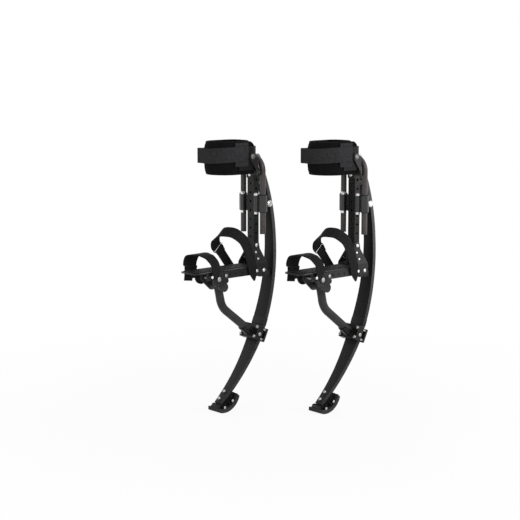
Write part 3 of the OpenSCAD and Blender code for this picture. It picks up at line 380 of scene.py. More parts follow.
def make_finishes():
    """Every finish of the stilts, by its slot in the record or its own name."""
    made = {"spring_composite": fibre_composite(), "pad_fabric": padded_cloth()}
    for build, table in ((grained_coat, COATS), (plated_steel, PLATED), (woven_webbing, WEBBINGS)):
        made.update({slot: build(*values) for slot, values in table.items()})
    return made


# Lines that the pieces follow


def bow(angle):
    """Points and outward normals of the spring's middle at angles: centre plus radius times direction."""
    out = np.stack([np.cos(angle), np.zeros_like(angle), np.sin(angle)], -1)
    return np.array([BOW_X - BOW_R, 0.0, BOW_Z]) + BOW_R * out, out


def bow_angle(z):
    """Angle of the bow at a height."""
    return math.asin((z - BOW_Z) / BOW_R)


def cuff_line(inset, steps=24, back_steps=4):
    """Closed plan line of the cuff, drawn in by inset: front half circle, two sides, two corners and a back.
    Returns points and outward normals, starting at the middle of the back and going round by the +Y side."""
    corner_x, corner_y = -CUFF_BACK - CUFF_CORNER, CUFF_HALF_W - CUFF_CORNER
    corner = np.linspace(0, 0.5 * np.pi, steps)
    front = np.linspace(0.5 * np.pi, 1.5 * np.pi, 4 * steps)
    back = np.linspace(0, corner_y, back_steps, endpoint=False)
    # Turns of the normal, the radius without inset, and the centre's x and y
    runs = (
        (0.0, CUFF_CORNER, corner_x, back),
        (corner, CUFF_CORNER, corner_x, corner_y),
        (front, CUFF_HALF_W, -CUFF_FRONT, 0.0),
        (corner + 1.5 * np.pi, CUFF_CORNER, corner_x, -corner_y),
        (0.0, CUFF_CORNER, corner_x, back - corner_y),
    )
    turn, radius, x, y = np.hstack([np.broadcast_arrays(*run) for run in runs])
    zero = np.zeros_like(turn)
    out = np.stack([np.cos(turn), np.sin(turn), zero], -1)
    return np.stack([x, y, zero], -1) + (radius - inset)[:, None] * out, out


def soft_line(rows, reach, step=STRAP_STEP):
    """A smooth line through rows of x, y, z and further values: the straight runs between them, sampled
    evenly and averaged over reach to each side with a bell-shaped window. The ends stay put."""
    rows = np.asarray(rows, float)
    along = run_lengths(rows[:, :3])
    even = np.linspace(0, along[-1], int(along[-1] / step) + 2)
    line = np.stack([np.interp(even, along, column) for column in rows.T], -1)
    n = int(reach / step)
    bell = np.hanning(2 * n + 3)[1:-1]
    lead = 2 * line[:1] - line[n + 1 : 0 : -1]
    tail = 2 * line[-1:] - line[-2 : -n - 3 : -1]
    long = np.concatenate([lead, line, tail])
    mean = np.stack([np.convolve(column, bell / bell.sum(), "same") for column in long.T], -1)
    return mean[len(lead) : len(lead) + len(line)]


def unit(vectors):
    return vectors / np.linalg.norm(vectors, axis=-1, keepdims=True)


def strap_frame(path, lean):
    """Side and outward normal of a strap: the side leans by an angle in degrees from X towards Z and is
    squared to the path, and the normal is side cross tangent."""
    tangent = unit(np.gradient(path, axis=0))
    lean = np.radians(lean)
    level = np.stack([np.cos(lean), np.zeros_like(lean), np.sin(lean)], -1)
    side = unit(level - (level * tangent).sum(1, keepdims=True) * tangent)
    return side, np.cross(side, tangent)


def folded_strap(name, path, side, half, fold, thick, bar, origin):
    """A band that runs along a path, turns round a bar at its end and lies back on it for the length fold.
    The turn is a half circle of radius (thick + bar) / 2, and what lies back closes up on the first part."""
    tangent = unit(np.gradient(path, axis=0))
    normal = np.cross(side, tangent)
    r = 0.5 * (thick + bar)
    turn = np.linspace(0, np.pi, 11)[1:-1, None]
    bend = path[-1] + r * np.sin(turn) * tangent[-1] + r * (1 - np.cos(turn)) * normal[-1]
    n, closed_at, first_gap, last_gap = int(fold / STRAP_STEP), 12, 0.8, 0.5
    lift = np.interp(np.arange(n), [0, closed_at, n], [2 * r, thick + first_gap, thick + last_gap])[:, None]
    back = slice(None, -n - 1, -1)
    whole = np.concatenate([path, bend, path[back] + lift * normal[back]])
    across = np.concatenate([side, np.repeat(side[-1:], len(bend), 0), side[back]])
    width = np.concatenate([half, np.full(len(bend), half[-1]), half[back]])
    out = unit(np.cross(across, np.gradient(whole, axis=0)))
    outline = rounded_rectangle(thick / 2, width, BAND_EDGE * thick)
    return piece_from(name, *sweep(whole + origin, across, out, outline))


def wire_link(name, centre, side, up, half_w, half_h, wire):
    """A wire link in the plane of side and up: a circle carried round a rectangle with round corners."""
    corner_r = 3.0
    loop = rounded_rectangle(half_w, half_h, corner_r, 6)
    path = centre + loop[:, :1] * side + loop[:, 1:] * up
    ahead = unit(np.roll(path, -1, 0) - np.roll(path, 1, 0))
    out = unit(np.cross(side, up))
    return piece_from(name, *sweep(path, out, np.cross(out, ahead), circle(0.5 * wire, 10), closed=True)[:2])


# Values a user would change


class StiltSettings(PropertyGroup):
    """Sizes and colours of the dressed stilts."""

    strap_thick: FloatProperty(
        name="Strap thickness", description="Thickness of the shoe straps", default=3.6 * MM, unit="LENGTH"
    )
    toe_strap_width: FloatProperty(
        name="Toe strap width", description="Width of the toe strap", default=36 * MM, unit="LENGTH"
    )
    ankle_strap_width: FloatProperty(
        name="Ankle strap width", description="Width of the ankle strap", default=38 * MM, unit="LENGTH"
    )
    pad_swell: FloatProperty(
        name="Pad swell", description="Most that the pad's cloth may swell", default=5 * MM, unit="LENGTH"
    )
    floor_colour: FloatVectorProperty(
        name="Floor", description="Colour of the floor", subtype="COLOR", size=4, default=linear("#f4f4f2")
    )


def settings():
    return bpy.context.scene.stilt_settings


class STILTS_OT_finishes(Operator):
    """Gives every solid of the frame its own finish or that of its slot"""

    bl_idname = "stilts.finishes"
    bl_label = "Finishes"

    def execute(self, context):
        FINISH.update(make_finishes())
        slots = {entry["node"]: entry["material_slot"] for entry in frame["record"]["subparts"]}
        for name, obj in frame["nodes"].items():
            plain = name.removeprefix("left_").removeprefix("right_")
            obj.data.materials.clear()
            obj.data.materials.append(FINISH[OWN_FINISH.get(plain, slots[name])])
        return {"FINISHED"}


class STILTS_OT_springs(Operator):
    """Makes the leaf springs, each in two lengths: from the clamp to the eye, and from the hoof to the clamp"""

    bl_idname = "stilts.springs"
    bl_label = "Leaf springs"

    # How far below the eye the spring ends, and the radius of its edges
    EYE_GAP, EDGE_R = 14, 1.6
    # Heights at which the spring's width is given, and the widths
    WIDTH_Z = (0, CLAMP_Z - 20, CLAMP_Z + 60, BOW_Z + 30, EYE_Z)
    WIDTHS = (SPRING_LOW, SPRING_MID, SPRING_MID, SPRING_TOP, SPRING_TOP)
    # Lengths along the bow from the clamp: up to the first a part is still, from the second it moves fully
    BEND = {"upper": (250.0, 400.0), "lower": (-30.0, -190.0)}

    def execute(self, context):
        clamp, tip = bow_angle(CLAMP_Z), bow_angle(TIP_Z)
        top = bow_angle(EYE_Z) - self.EYE_GAP / BOW_R
        for side in SIDES:
            for part, low, high, end in (("upper", clamp, top, "spring_top"), ("lower", tip, clamp, "hoof")):
                path, out = bow(np.linspace(low, high, 90))
                half_w = np.interp(path[:, 2], self.WIDTH_Z, np.array(self.WIDTHS) / 2)
                outline = rounded_rectangle(SPRING_T / 2, half_w, self.EDGE_R)
                obj = piece_from(f"{side}_spring_{part}", *sweep(path + ORIGIN[side], ACROSS, out, outline))
                settle(obj, None, "spring_composite", f"{side}_leaf_spring")
                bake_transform(obj)
        return {"FINISHED"}


class STILTS_OT_wraps(Operator):
    """Winds the tape round each spring above its clamp"""

    bl_idname = "stilts.wraps"
    bl_label = "Spring wraps"

    # Where the tape starts and ends along the spring above the clamp, and the length of one turn
    START, END, TURN = 32, 58, 8.7
    # How proud its ends are, how much it rises over TAPER from them, a turn's step, and the corners' radius
    PROUD, RISE, TAPER, STEP, CORNER_R = 0.25, 0.3, 1.5, 0.25, 2.0

    def execute(self, context):
        along = np.linspace(self.START, self.END, 40)
        path, out = bow(bow_angle(CLAMP_Z) + along / BOW_R)
        ends = np.minimum(1, np.minimum(along - self.START, self.END - along) / self.TAPER)
        turns = self.PROUD + self.RISE * ends + self.STEP * ((along - self.START) / self.TURN % 1) * ends
        outline = rounded_rectangle(SPRING_T / 2 + turns, SPRING_MID / 2 + turns, self.CORNER_R)
        for side in SIDES:
            obj = piece_from(f"{side}_spring_tape", *sweep(path + ORIGIN[side], ACROSS, out, outline))
            settle(obj, f"{side}_arm", "black_rubber", f"{side}_spring_wrap", finish="tape")
        return {"FINISHED"}


class STILTS_OT_shoe_straps(Operator):
    """Makes the toe and ankle straps: an anchor band, a wire link and a band that folds back through it"""

    bl_idname = "stilts.shoe_straps"
    bl_label = "Shoe straps"

    # Points that the straps pass, from the near foot over the shoe to the far foot: x, y, z in millimetres,
    # the lean of the strap's width in degrees, and the half width as a share of the setting
    ANKLE = (
        (-39, -50, 452, 12, 0.15), (-43, -50, 478, 12, 1.0), (-50, -50, 510, 14, 1.05),
        (-66, -50, 561, 20, 1.05), (-86, -48, 599, 32, 1.05), (-114, -28, 625, 40, 1.05),
        (-139, 2, 627, 42, 1.05), (-143, 31, 604, 40, 1.2), (-131, 49, 576, 38, 1.12),
        (-108, 51, 553, 36, 0.9), (-66, 50, 497, 33, 0.9), (-45, 50, 470, 30, 0.9),
        (-38, 50, 454, 28, 0.15),
    )
    TOE = (
        (-222, -52, 481, 0, 0.85), (-213, -53, 500, 10, 0.95), (-213, -54, 512, 12, 1.0),
        (-219, -51, 533, 12, 1.0), (-228, -36, 552, 10, 1.05), (-235, -8, 560, 6, 1.2),
        (-237, 22, 557, 3, 1.45), (-237, 46, 546, 0, 1.65), (-238, 54, 530, 0, 1.55),
        (-239, 54, 514, 0, 1.4), (-241, 54, 500, 0, 1.3), (-248, 53, 478, 0, 1.0),
        (-250, 53, 463, 0, 1.0),
    )
    ANKLE_LINK, TOE_LINK = (-120, 50, 564), (-239, 54, 514)
    # The links' wire, its play in a fold, and how far a link stands out beside the band
    WIRE, PLAY, BESIDE = 2.8, 0.6, 2.6
    # Lengths that the long band and the anchor band lie back
    BAND_FOLD, ANCHOR_FOLD = 42, 22

    def execute(self, context):
        for side in SIDES:
            for kind, rows, link, width, reach, gap in (
                ("ankle", self.ANKLE, self.ANKLE_LINK, settings().ankle_strap_width, 26, 2),
                ("toe", self.TOE, self.TOE_LINK, settings().toe_strap_width, 14, 1),
            ):
                self.strap(side, kind, rows, link, 0.5 * width / MM, reach, gap)
        return {"FINISHED"}

    def strap(self, side, kind, rows, link, half, reach, gap):
        """One strap: its line is cut gap steps to each side of the link, where the long band folds outwards
        and the anchor band inwards."""
        thick, bar, origin = settings().strap_thick / MM, self.WIRE + self.PLAY, ORIGIN[side]
        line = soft_line(rows, reach)
        path, half = line[:, :3], half * line[:, 4]
        across, out = strap_frame(path, line[:, 3])
        at = int(np.argmin(np.linalg.norm(path - np.array(link), axis=1)))
        long, short = slice(None, at - gap), slice(None, at + gap, -1)
        for part, keep, fold in (("band", long, self.BAND_FOLD), ("anchor", short, self.ANCHOR_FOLD)):
            name = f"{side}_{kind}_{part}"
            obj = folded_strap(name, path[keep], across[keep], half[keep], fold, thick, bar, origin)
            settle(obj, "frame", "black_webbing", f"{side}_{kind}_strap")
        up = path[at - gap] - path[at + gap] + (thick + self.WIRE + self.PLAY) * out[at]
        half_w, half_h = half[at] + self.BESIDE, 0.5 * np.linalg.norm(up)
        name = f"{side}_{kind}_link"
        ring = wire_link(name, path[at] + origin, across[at], unit(up), half_w, half_h, self.WIRE)
        settle(ring, "frame", "zinc_steel", "strap_rings", finish="dull_steel")


class STILTS_OT_pins(Operator):
    """Presses bright pins into the heel plates' holes and rubber plugs into the foot plates' side holes"""

    bl_idname = "stilts.pins"
    bl_label = "Pins and plugs"

    # Where the holes are in x and z, and the heel plate's outer y at two heights between which it leans
    HEEL_HOLES = ((-11, 546), (-12, 525))
    SIDE_HOLES = ((-90, 484.5), (-117, 484.5), (-144, 484.5))
    LEAN_Z, LEAN_Y = (510, 557), (PLATE_W / 2 + 4, 20)
    # Radius and height above the plate's face of each ring, from the inner end to the outer one
    DOME = ((4.4, -4), (4.4, 1.0), (4.1, 1.7), (3.2, 2.3), (1.8, 2.7), (0.6, 2.8))
    DISH = ((3.95, -3.6), (3.95, -0.9), (3.5, -0.7), (3.0, -1.5), (0.6, -1.6))
    KINDS = (("heel_pins", HEEL_HOLES, DOME, "zinc_steel"), ("side_plugs", SIDE_HOLES, DISH, "black_rubber"))

    def execute(self, context):
        for side in SIDES:
            for kind, holes, rings, slot in self.KINDS:
                points, faces, caps = [], [], []
                for x, z in holes:
                    face = np.interp(z, self.LEAN_Z, self.LEAN_Y) if kind == "heel_pins" else PLATE_W / 2
                    for way in (-1, 1):
                        start = sum(len(p) for p in points)
                        ring_points, ring_faces, ring_caps, _ = self.turned(x, way * face, z, way, rings)
                        points.append(ring_points + ORIGIN[side])
                        faces.append(ring_faces + start)
                        caps += [[i + start for i in cap] for cap in ring_caps]
                obj = piece_from(f"{side}_{kind}", np.concatenate(points), np.concatenate(faces), caps)
                settle(obj, "frame", slot)
        return {"FINISHED"}

    def turned(self, x, y, z, way, rings):
        """A turned piece along Y: circles of a radius r, each at a height h along it."""
        r, h = np.array(rings, float).T
        outline = circle(r[:, None, None], 20)
        path = np.stack([np.full(len(h), float(x)), y + way * h, np.full(len(h), float(z))], -1)
        return sweep(path, AHEAD, UP, outline)


class STILTS_OT_cuff_pads(Operator):
    """Makes the knee pads: a ring of foam cloth, swollen by a cloth simulation, with bound edges"""

    bl_idname = "stilts.cuff_pads"
    bl_label = "Cuff pads"

    # How much smaller than the solid the pad starts, and the powers of its section in depth and height
    SLACK, DEEP_POWER, HIGH_POWER = 3.0, 0.6, 0.35
    # The back corner over which the pad's top dips, in x and in y
    DIP_X, DIP_Y = (-72, -42), (-8, -44)
    # Where the pad comes free of the shell, and the length over which its crown grows
    FREE_X, CROWN_RUN = -112, 30
    # The shell's reach: its front, its middle height and half height, its radius and the start of its back
    SHELL_X, SHELL_Z, SHELL_HALF_H, SHELL_R, SHELL_BACK = -120, 878, 42, 58, -40
    # The simulation's voxel in millimetres, its pressure and its last frame
    VOXEL, PRESSURE, LAST = 4.5, 4.0, 20
    # The strap's half height and the run beside it over which the pad bulges, its play and the bulge
    STRAP_HALF, BULGE_RUN, STRAP_PLAY, BULGE = 24, 14, 0.3, 3
    # The binding's half height, the depth that it leaves of the pad's edge, and the radius of its corners
    BIND_HALF, BIND_INSET, BIND_R = 5.0, 2.2, 3.0

    def execute(self, context):
        for side in SIDES:
            obj = self.pad(side)
            self.swell(context, obj, ORIGIN[side])
            settle(obj, f"{side}_cuff", "pad_fabric", f"{side}_cuff_pad")
            for name, z in (("low", PAD_LOW + self.BIND_HALF), ("top", PAD_LOW + PAD_H - self.BIND_HALF)):
                self.binding(side, name, z)
        return {"FINISHED"}

    def section(self):
        """The pad's section, depth inwards and height: a superellipse flattened on the shell's side."""
        c, s = circle(1.0, 48).T
        deep = np.sign(c) * np.abs(c) ** self.DEEP_POWER
        high = np.sign(s) * np.abs(s) ** self.HIGH_POWER
        depth = SHELL_T + PAD_T / 2 + 0.5 * (PAD_T - self.SLACK) * deep
        height = PAD_LOW + PAD_H / 2 + 0.5 * (PAD_H - self.SLACK) * high
        return np.stack([depth, height], -1)

    def dip(self, line):
        """How far the pad's top is lowered along its plan line: a smooth step in x times one in y, at the
        back corner on the wearer's left, where the pad closes with a rounded end."""
        return PAD_DIP * smooth_step(line[:, 0], *self.DIP_X) * smooth_step(line[:, 1], *self.DIP_Y)

    def pad(self, side):
        """The section carried round the cuff's line: point = line minus depth times its outward normal.
        Ahead of the shell its outer side is crowned by the root of 1 - u squared, u the height off centre."""
        line, out = cuff_line(0.0)
        section = self.section()
        rise = (section[:, 1] - PAD_LOW) / PAD_H
        outer = np.clip((SHELL_T + PAD_T / 2 - section[:, 0]) / (PAD_T / 2), 0, 1)
        crown = PAD_CROWN * outer * np.sqrt(np.clip(1 - (2 * rise - 1) ** 2, 0, 1))
        free = np.clip((self.FREE_X - line[:, 0]) / self.CROWN_RUN, 0, 1)
        depth = section[:, 0] - free[:, None] * crown
        points = line[:, None] - depth[..., None] * out[:, None]
        points[..., 2] = PAD_LOW + rise * (PAD_H - self.dip(line)[:, None])
        faces = grid_faces(len(line), len(section), close_rows=True, close_columns=True)
        return piece_from(f"{side}_knee_pad", points.reshape(-1, 3) + ORIGIN[side], faces)

    def places(self, obj):
        """The places of a mesh's points, one row each, in metres."""
        flat = np.zeros(len(obj.data.vertices) * 3, np.float32)
        obj.data.vertices.foreach_get("co", flat)
        return flat.reshape(-1, 3)

    def swell(self, context, obj, origin):
        """Remeshes the pad evenly, blows it up as cloth, its shell side held, and caps each point's move."""
        fix_normals(obj)
        remesh = obj.modifiers.new("even", "REMESH")
        remesh.mode, remesh.voxel_size = "VOXEL", self.VOXEL * MM
        apply_modifiers(context, obj)
        before = self.places(obj)
        local = before / MM - origin
        x, y, z = local.T
        beside = (x > self.SHELL_X) & (np.abs(z - self.SHELL_Z) < self.SHELL_HALF_H)
        round_front = np.hypot(x + CUFF_FRONT, y) > self.SHELL_R
        outer = np.where(x < -CUFF_FRONT, round_front, (np.abs(y) > self.SHELL_R) | (x > self.SHELL_BACK))
        group = obj.vertex_groups.new(name="held")
        group.add(np.flatnonzero(beside & outer).tolist(), 1.0, "REPLACE")
        cloth = obj.modifiers.new("swell", "CLOTH")
        cloth.settings.use_pressure = True
        cloth.settings.uniform_pressure_force = self.PRESSURE
        cloth.settings.effector_weights.gravity = 0.0
        cloth.settings.vertex_group_mass = "held"
        for step in range(1, self.LAST + 1):
            context.scene.frame_set(step)
        apply_modifiers(context, obj)
        move = self.places(obj) - before
        far = np.linalg.norm(move, axis=1, keepdims=True)
        move *= np.minimum(1.0, settings().pad_swell / np.maximum(far, 1e-9))
        obj.data.vertices.foreach_set("co", ((self.pull(local + move / MM) + origin) * MM).ravel())
        obj.data.update()
        obj.vertex_groups.clear()
        context.scene.frame_set(1)
        smooth = obj.modifiers.new("soft", "SUBSURF")
        smooth.levels = smooth.render_levels = 1
        obj.data.polygons.foreach_set("use_smooth", np.ones(len(obj.data.polygons), bool))

    def pull(self, local):
        """Draws the pad in under its strap: no point lies further out than the strap's inner face, and up to
        BULGE further above and below it."""
        x, y, z = local.T
        away = smooth_step(np.abs(z - STRAP_Z), self.STRAP_HALF, self.STRAP_HALF + self.BULGE_RUN)
        most = CUFF_HALF_W - self.STRAP_PLAY + self.BULGE * away
        ahead = np.minimum(x + CUFF_FRONT, 0)
        share = np.minimum(1, most / np.maximum(np.hypot(ahead, y), 1e-6))
        return np.stack([x + ahead * (share - 1), y * share, z], -1)

    def binding(self, side, name, z):
        """Tape bound over an edge of the pad: a rounded rectangle, nearly as deep, carried round."""
        line, out = cuff_line(SHELL_T + PAD_T / 2)
        line[:, 2] = z - (self.dip(line) if name == "top" else 0)
        outline = rounded_rectangle(PAD_T / 2 - self.BIND_INSET, self.BIND_HALF, self.BIND_R)
        ring = sweep(line + ORIGIN[side], UP, out, outline, closed=True)
        obj = piece_from(f"{side}_pad_binding_{name}", *ring)
        settle(obj, f"{side}_cuff", "pad_fabric")


class STILTS_OT_cuff_straps(Operator):
    """Makes the knee straps: two sewn panels and a band round the front with its folded loop"""

    bl_idname = "stilts.cuff_straps"
    bl_label = "Cuff straps"

    # The panels' height, half height, outward step, back end and their run on the front circle
    PANEL_Z, PANEL_HALF, PANEL_OUT, PANEL_X, PANEL_RUN = 892.0, 40.0, 1.5, -86, 12
    # The band's half height, its back end, the angle of its fold in degrees and how far that stands out, and
    # the turn in radians from the fold to where the band is back on the circle
    BAND_HALF, BAND_X, FOLD_AT, FOLD_OUT, BACK_ON = 25.5, -88, 44, 19.0, 0.09
    # The band's height, and its outward step over a panel and off it, each by counts of its plan's points
    HEIGHT_AT, HEIGHTS = (0, 18, 70, 76, 117), (894, 894, 887, 887, 890)
    STEP_AT, STEPS = (0, 19, 28, 91, 101), (4.4, 4.4, 1.6, 1.6, 4.4)
    # The webbing's thickness, and the least distance between two points of its line
    THICK, LEAST = 3.0, 0.05
    # Points of the fold from its tip: along the tangent, and along the radius
    FOLD = ((-1.2, -2), (-1.2, 0), (2.2, 0), (2.2, -2), (4, 4 - FOLD_OUT))

    def execute(self, context):
        for side in SIDES:
            pieces = [
                (name, self.panel_line(sign), self.PANEL_Z, self.PANEL_HALF, self.PANEL_OUT, -sign)
                for name, sign in (("panel_near", -1), ("panel_far", 1))
            ]
            line = self.front_line()
            pieces.append(("band", line[:, :2], line[:, 2], self.BAND_HALF, line[:, 3], 1))
            for name, line, z, half_h, out_by, sign in pieces:
                obj = self.band(f"{side}_knee_{name}", line, side, z, half_h, out_by, sign)
                settle(obj, f"{side}_cuff", "charcoal_webbing", f"{side}_cuff_strap")
        return {"FINISHED"}

    def panel_line(self, sign):
        """A panel's plan: along the cuff's side, and a short way round its front circle."""
        run = np.linspace(self.PANEL_X, -CUFF_FRONT, 24)
        bend = np.linspace(0, math.asin(self.PANEL_RUN / CUFF_HALF_W), 10)[1:]
        side = np.stack([run, np.full(len(run), sign * CUFF_HALF_W)], -1)
        arc = [-CUFF_FRONT - CUFF_HALF_W * np.sin(bend), sign * CUFF_HALF_W * np.cos(bend)]
        return np.concatenate([side, np.stack(arc, -1)])

    def front_line(self):
        """The band's plan with its height and outward step: along the near side, round the front circle, off
        it on a tangent to the fold's tip, back to the circle and along the far side, corners softened."""
        r, turn, reach = CUFF_HALF_W, math.radians(self.FOLD_AT), self.FOLD_OUT
        leave, back = turn - math.acos(r / (r + reach)), turn + self.BACK_ON
        first, last = np.linspace(-0.5 * np.pi, leave, 60), np.linspace(back, 0.5 * np.pi, 30)
        arcs = [np.stack([-CUFF_FRONT - r * np.cos(a), r * np.sin(a)], -1) for a in (first, last)]
        radial = np.array([-math.cos(turn), math.sin(turn)])
        tangent = np.array([math.sin(turn), math.cos(turn)])
        tip = np.array([-CUFF_FRONT, 0.0]) + radial * (r + reach)
        along, out = np.array(self.FOLD).T[..., None]
        fold = tip + along * tangent + out * radial
        near = np.stack([np.linspace(self.BAND_X, -CUFF_FRONT, 12)[:-1], np.full(11, -r)], -1)
        plan = np.concatenate([near, arcs[0], fold, arcs[1], near[::-1] * [1, -1]])
        count = np.arange(len(plan))
        rise = np.interp(count, self.HEIGHT_AT, self.HEIGHTS)
        proud = np.interp(count, self.STEP_AT, self.STEPS)
        return soft_line(np.column_stack([plan, rise, proud]), reach=3.0, step=0.75)

    def band(self, name, line, side, z, half_h, out_by, sign):
        """A standing band: a rounded rectangle carried along a plan line at height z, moved out by out_by
        along its normal. z and out_by are one number or one for each point."""
        keep = np.concatenate([[True], np.linalg.norm(np.diff(line, axis=0), axis=1) > self.LEAST])
        z, out_by = (np.broadcast_to(v, len(line))[keep, None] for v in (z, out_by))
        line = line[keep]
        tangent = unit(np.gradient(line, axis=0))
        normal = sign * np.stack([-tangent[:, 1], tangent[:, 0]], -1)
        path = np.hstack([line + normal * out_by, z]) + ORIGIN[side]
        outline = rounded_rectangle(self.THICK / 2, half_h, BAND_EDGE * self.THICK)
        return piece_from(name, *sweep(path, UP, np.hstack([normal, np.zeros_like(z)]), outline))


class STILTS_OT_grip_mats(Operator):
    """Makes the grip mats with their raised diamonds"""

    bl_idname = "stilts.grip_mats"
    bl_label = "Grip mats"

    # The mat's front, back, half width and thickness, and its bottom's clearance over the plate
    FRONT, BACK, HALF_W, THICK, CLEAR = -284, -20, 36, 2.2, 0.02
    # The diamonds' spacing, height, steepness and start, the plain border, and the rim, lower by that height
    PITCH, STUD, STEEP, START, BORDER, RIM = 12, 0.8, 3, 0.9, 5, 1

    def execute(self, context):
        x, y = np.linspace(self.FRONT, self.BACK, 200), np.linspace(-self.HALF_W, self.HALF_W, 60)
        gx, gy = np.meshgrid(x, y, indexing="ij")
        edge = np.minimum(np.minimum(gx - self.FRONT, self.BACK - gx), self.HALF_W - np.abs(gy))
        a, b = (np.sin(np.pi * v / self.PITCH) for v in (gx + gy, gx - gy))
        stud = np.clip(self.STEEP * np.abs(a * b) - self.START, 0, 1) * (edge > self.BORDER)
        gz = PLATE_Z + self.THICK + self.STUD * stud - self.STUD * (edge < self.RIM)
        top = np.stack([gx, gy, gz], -1)
        bottom = np.stack([gx, gy, np.full_like(gx, PLATE_Z + self.CLEAR)], -1)
        n, m = gx.shape
        up = grid_faces(n, m)
        index = np.arange(n * m).reshape(n, m)
        rim = np.concatenate([index[:-1, 0], index[-1, :-1], index[:0:-1, -1], index[0, :0:-1]])
        wall = np.stack([rim, np.roll(rim, -1), np.roll(rim, -1) + n * m, rim + n * m], -1)
        faces = np.concatenate([up, up[:, ::-1] + n * m, wall])
        for side in SIDES:
            points = np.concatenate([top.reshape(-1, 3), bottom.reshape(-1, 3)]) + ORIGIN[side]
            obj = piece_from(f"{side}_tread_mat", points, faces, smooth=False)
            settle(obj, "frame", "black_rubber", f"{side}_grip_mat")
        return {"FINISHED"}


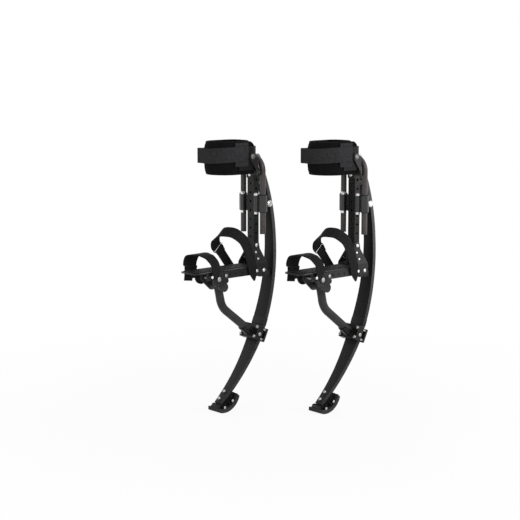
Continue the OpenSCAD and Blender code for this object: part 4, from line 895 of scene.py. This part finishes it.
class STILTS_OT_stage(Operator):
    """Sets the pale floor, the soft lights and the camera of the photograph"""

    bl_idname = "stilts.stage"
    bl_label = "Stage"

    # Each lamp's place in metres, size in metres and power in watts, and the point that all of them face
    LAMPS = (
        ("key", (-0.8, -4.0, 3.0), 2.0, 54.0),
        ("fill", (2.8, -2.6, 1.6), 2.4, 40.0),
        ("rim", (1.8, 2.8, 2.6), 1.8, 30.0),
    )
    LIT_POINT = (0.1, 0, 0.5)
    # The floor's half width, the share of white seen in it near the stilts, and where that grows to all
    FLOOR_HALF, WHITE_SHARE, FADE_FROM, FADE_TO = 30, 0.9, 0.5, 1.6
    # The world's strength for light
    SOFT_LIGHT = 0.55
    # The camera's angle to the toes' side in degrees, its distance and height, where it aims, and its lens
    CAMERA_TURN, CAMERA_OFF, CAMERA_UP, AIM_LEFT, AIM_UP, LENS = -44, 4.5, 1.2, 0.151, 0.515, 90.1

    def execute(self, context):
        scene = context.scene
        scene.view_settings.view_transform = "Standard"
        self.lay_floor(scene)
        self.light_world(scene)
        for name, spot, size, watts in self.LAMPS:
            lamp = bpy.data.lights.new(name, "AREA")
            lamp.size, lamp.energy = size, watts
            self.place(scene, name, lamp, Vector(spot), Vector(self.LIT_POINT))
        self.place_camera(scene)
        return {"FINISHED"}

    def place(self, scene, name, data, spot, aim):
        """Puts a lamp or camera at a spot, facing a point."""
        obj = bpy.data.objects.new(name, data)
        obj.location = spot
        obj.rotation_euler = (aim - spot).to_track_quat("-Z", "Y").to_euler()
        scene.collection.objects.link(obj)
        return obj

    def seen_rays(self, tree):
        """1 for rays of the camera, mirrors and glass, and 0 for light."""
        path = node(tree, "ShaderNodeLightPath").node
        direct = {0: path.outputs["Is Camera Ray"], 1: path.outputs["Is Glossy Ray"]}
        seen = node(tree, "ShaderNodeMath", direct, operation="MAXIMUM")
        through = {0: seen, 1: path.outputs["Is Transmission Ray"]}
        return node(tree, "ShaderNodeMath", through, operation="MAXIMUM")

    def lay_floor(self, scene):
        """A pale square floor."""
        mesh = bpy.data.meshes.new("floor")
        f = self.FLOOR_HALF
        mesh.from_pydata([(-f, -f, 0), (f, -f, 0), (f, f, 0), (-f, f, 0)], [], [(0, 1, 2, 3)])
        floor = bpy.data.objects.new("floor", mesh)
        scene.collection.objects.link(floor)
        colour = settings().floor_colour
        mat, tree, shader, where = new_material("pale_floor", Base_Color=colour, Roughness=0.9)
        self.see_white(tree, shader, where["Object"])
        mesh.materials.append(mat)

    def see_white(self, tree, shader, place):
        """Mixes white into what the camera, mirrors and glass see of a surface, so that its shadows stay
        faint and it runs into the white background away from the stilts."""
        seen = self.seen_rays(tree)
        far = node(tree, "ShaderNodeVectorMath", {0: place}, "Value", operation="LENGTH")
        reach = {"Value": far, "From Min": self.FADE_FROM, "From Max": self.FADE_TO}
        fade = node(tree, "ShaderNodeMapRange", {**reach, "To Min": self.WHITE_SHARE, "To Max": 1.0})
        part = node(tree, "ShaderNodeMath", {0: seen, 1: fade}, operation="MULTIPLY")
        white = node(tree, "ShaderNodeEmission", {"Color": (1, 1, 1, 1), "Strength": 1.0})
        mix = node(tree, "ShaderNodeMixShader", {0: part, 1: shader.outputs["BSDF"], 2: white})
        out = next(n for n in tree.nodes if n.type == "OUTPUT_MATERIAL")
        tree.links.new(mix, out.inputs["Surface"])

    def light_world(self, scene):
        """A white world for the camera, mirrors and glass, and a softer one for light."""
        world = bpy.data.worlds.new("studio")
        world.use_nodes = True
        tree = world.node_tree
        tree.nodes.clear()
        strength = {"Value": self.seen_rays(tree), "To Min": self.SOFT_LIGHT, "To Max": 1.0}
        power = node(tree, "ShaderNodeMapRange", strength)
        sky = node(tree, "ShaderNodeBackground", {"Color": (1, 1, 1, 1), "Strength": power})
        node(tree, "ShaderNodeOutputWorld", {"Surface": sky})
        scene.world = world

    def place_camera(self, scene):
        """The photograph's camera, off to the toes' side, with a long lens."""
        middle = Vector(0.5 * (ORIGIN["left"] + ORIGIN["right"]) * MM)
        turn = math.radians(self.CAMERA_TURN)
        away = Vector((math.sin(turn), -math.cos(turn), 0))
        right = Vector((math.cos(turn), math.sin(turn), 0))
        spot = middle + away * self.CAMERA_OFF + Vector((0, 0, self.CAMERA_UP))
        aim = middle - right * self.AIM_LEFT + Vector((0, 0, self.AIM_UP))
        data = bpy.data.cameras.new("photo")
        data.lens, data.sensor_width, data.clip_end = self.LENS, 36.0, 100.0
        scene.camera = self.place(scene, "photo", data, spot, aim)


class STILTS_PT_panel(Panel):
    """Lists the stilts' pieces and their settings"""

    bl_idname = "STILTS_PT_panel"
    bl_label = "Jumping stilts"
    bl_space_type = "VIEW_3D"
    bl_region_type = "UI"
    bl_category = "Stilts"

    def draw(self, context):
        for operator in OPERATORS:
            self.layout.operator(operator.bl_idname)
        for key in StiltSettings.__annotations__:
            self.layout.prop(context.scene.stilt_settings, key)


OPERATORS = (
    STILTS_OT_finishes,
    STILTS_OT_springs,
    STILTS_OT_wraps,
    STILTS_OT_shoe_straps,
    STILTS_OT_pins,
    STILTS_OT_cuff_pads,
    STILTS_OT_cuff_straps,
    STILTS_OT_grip_mats,
    STILTS_OT_stage,
)
CLASSES = (StiltSettings,) + OPERATORS + (STILTS_PT_panel,)


def register():
    for cls in CLASSES:
        bpy.utils.register_class(cls)
    bpy.types.Scene.stilt_settings = PointerProperty(type=StiltSettings)


def unregister():
    del bpy.types.Scene.stilt_settings
    for cls in reversed(CLASSES):
        bpy.utils.unregister_class(cls)


def main():
    register()
    for operator in OPERATORS:
        getattr(bpy.ops.stilts, operator.bl_idname.split(".")[1])()


if __name__ == "__main__":
    main()
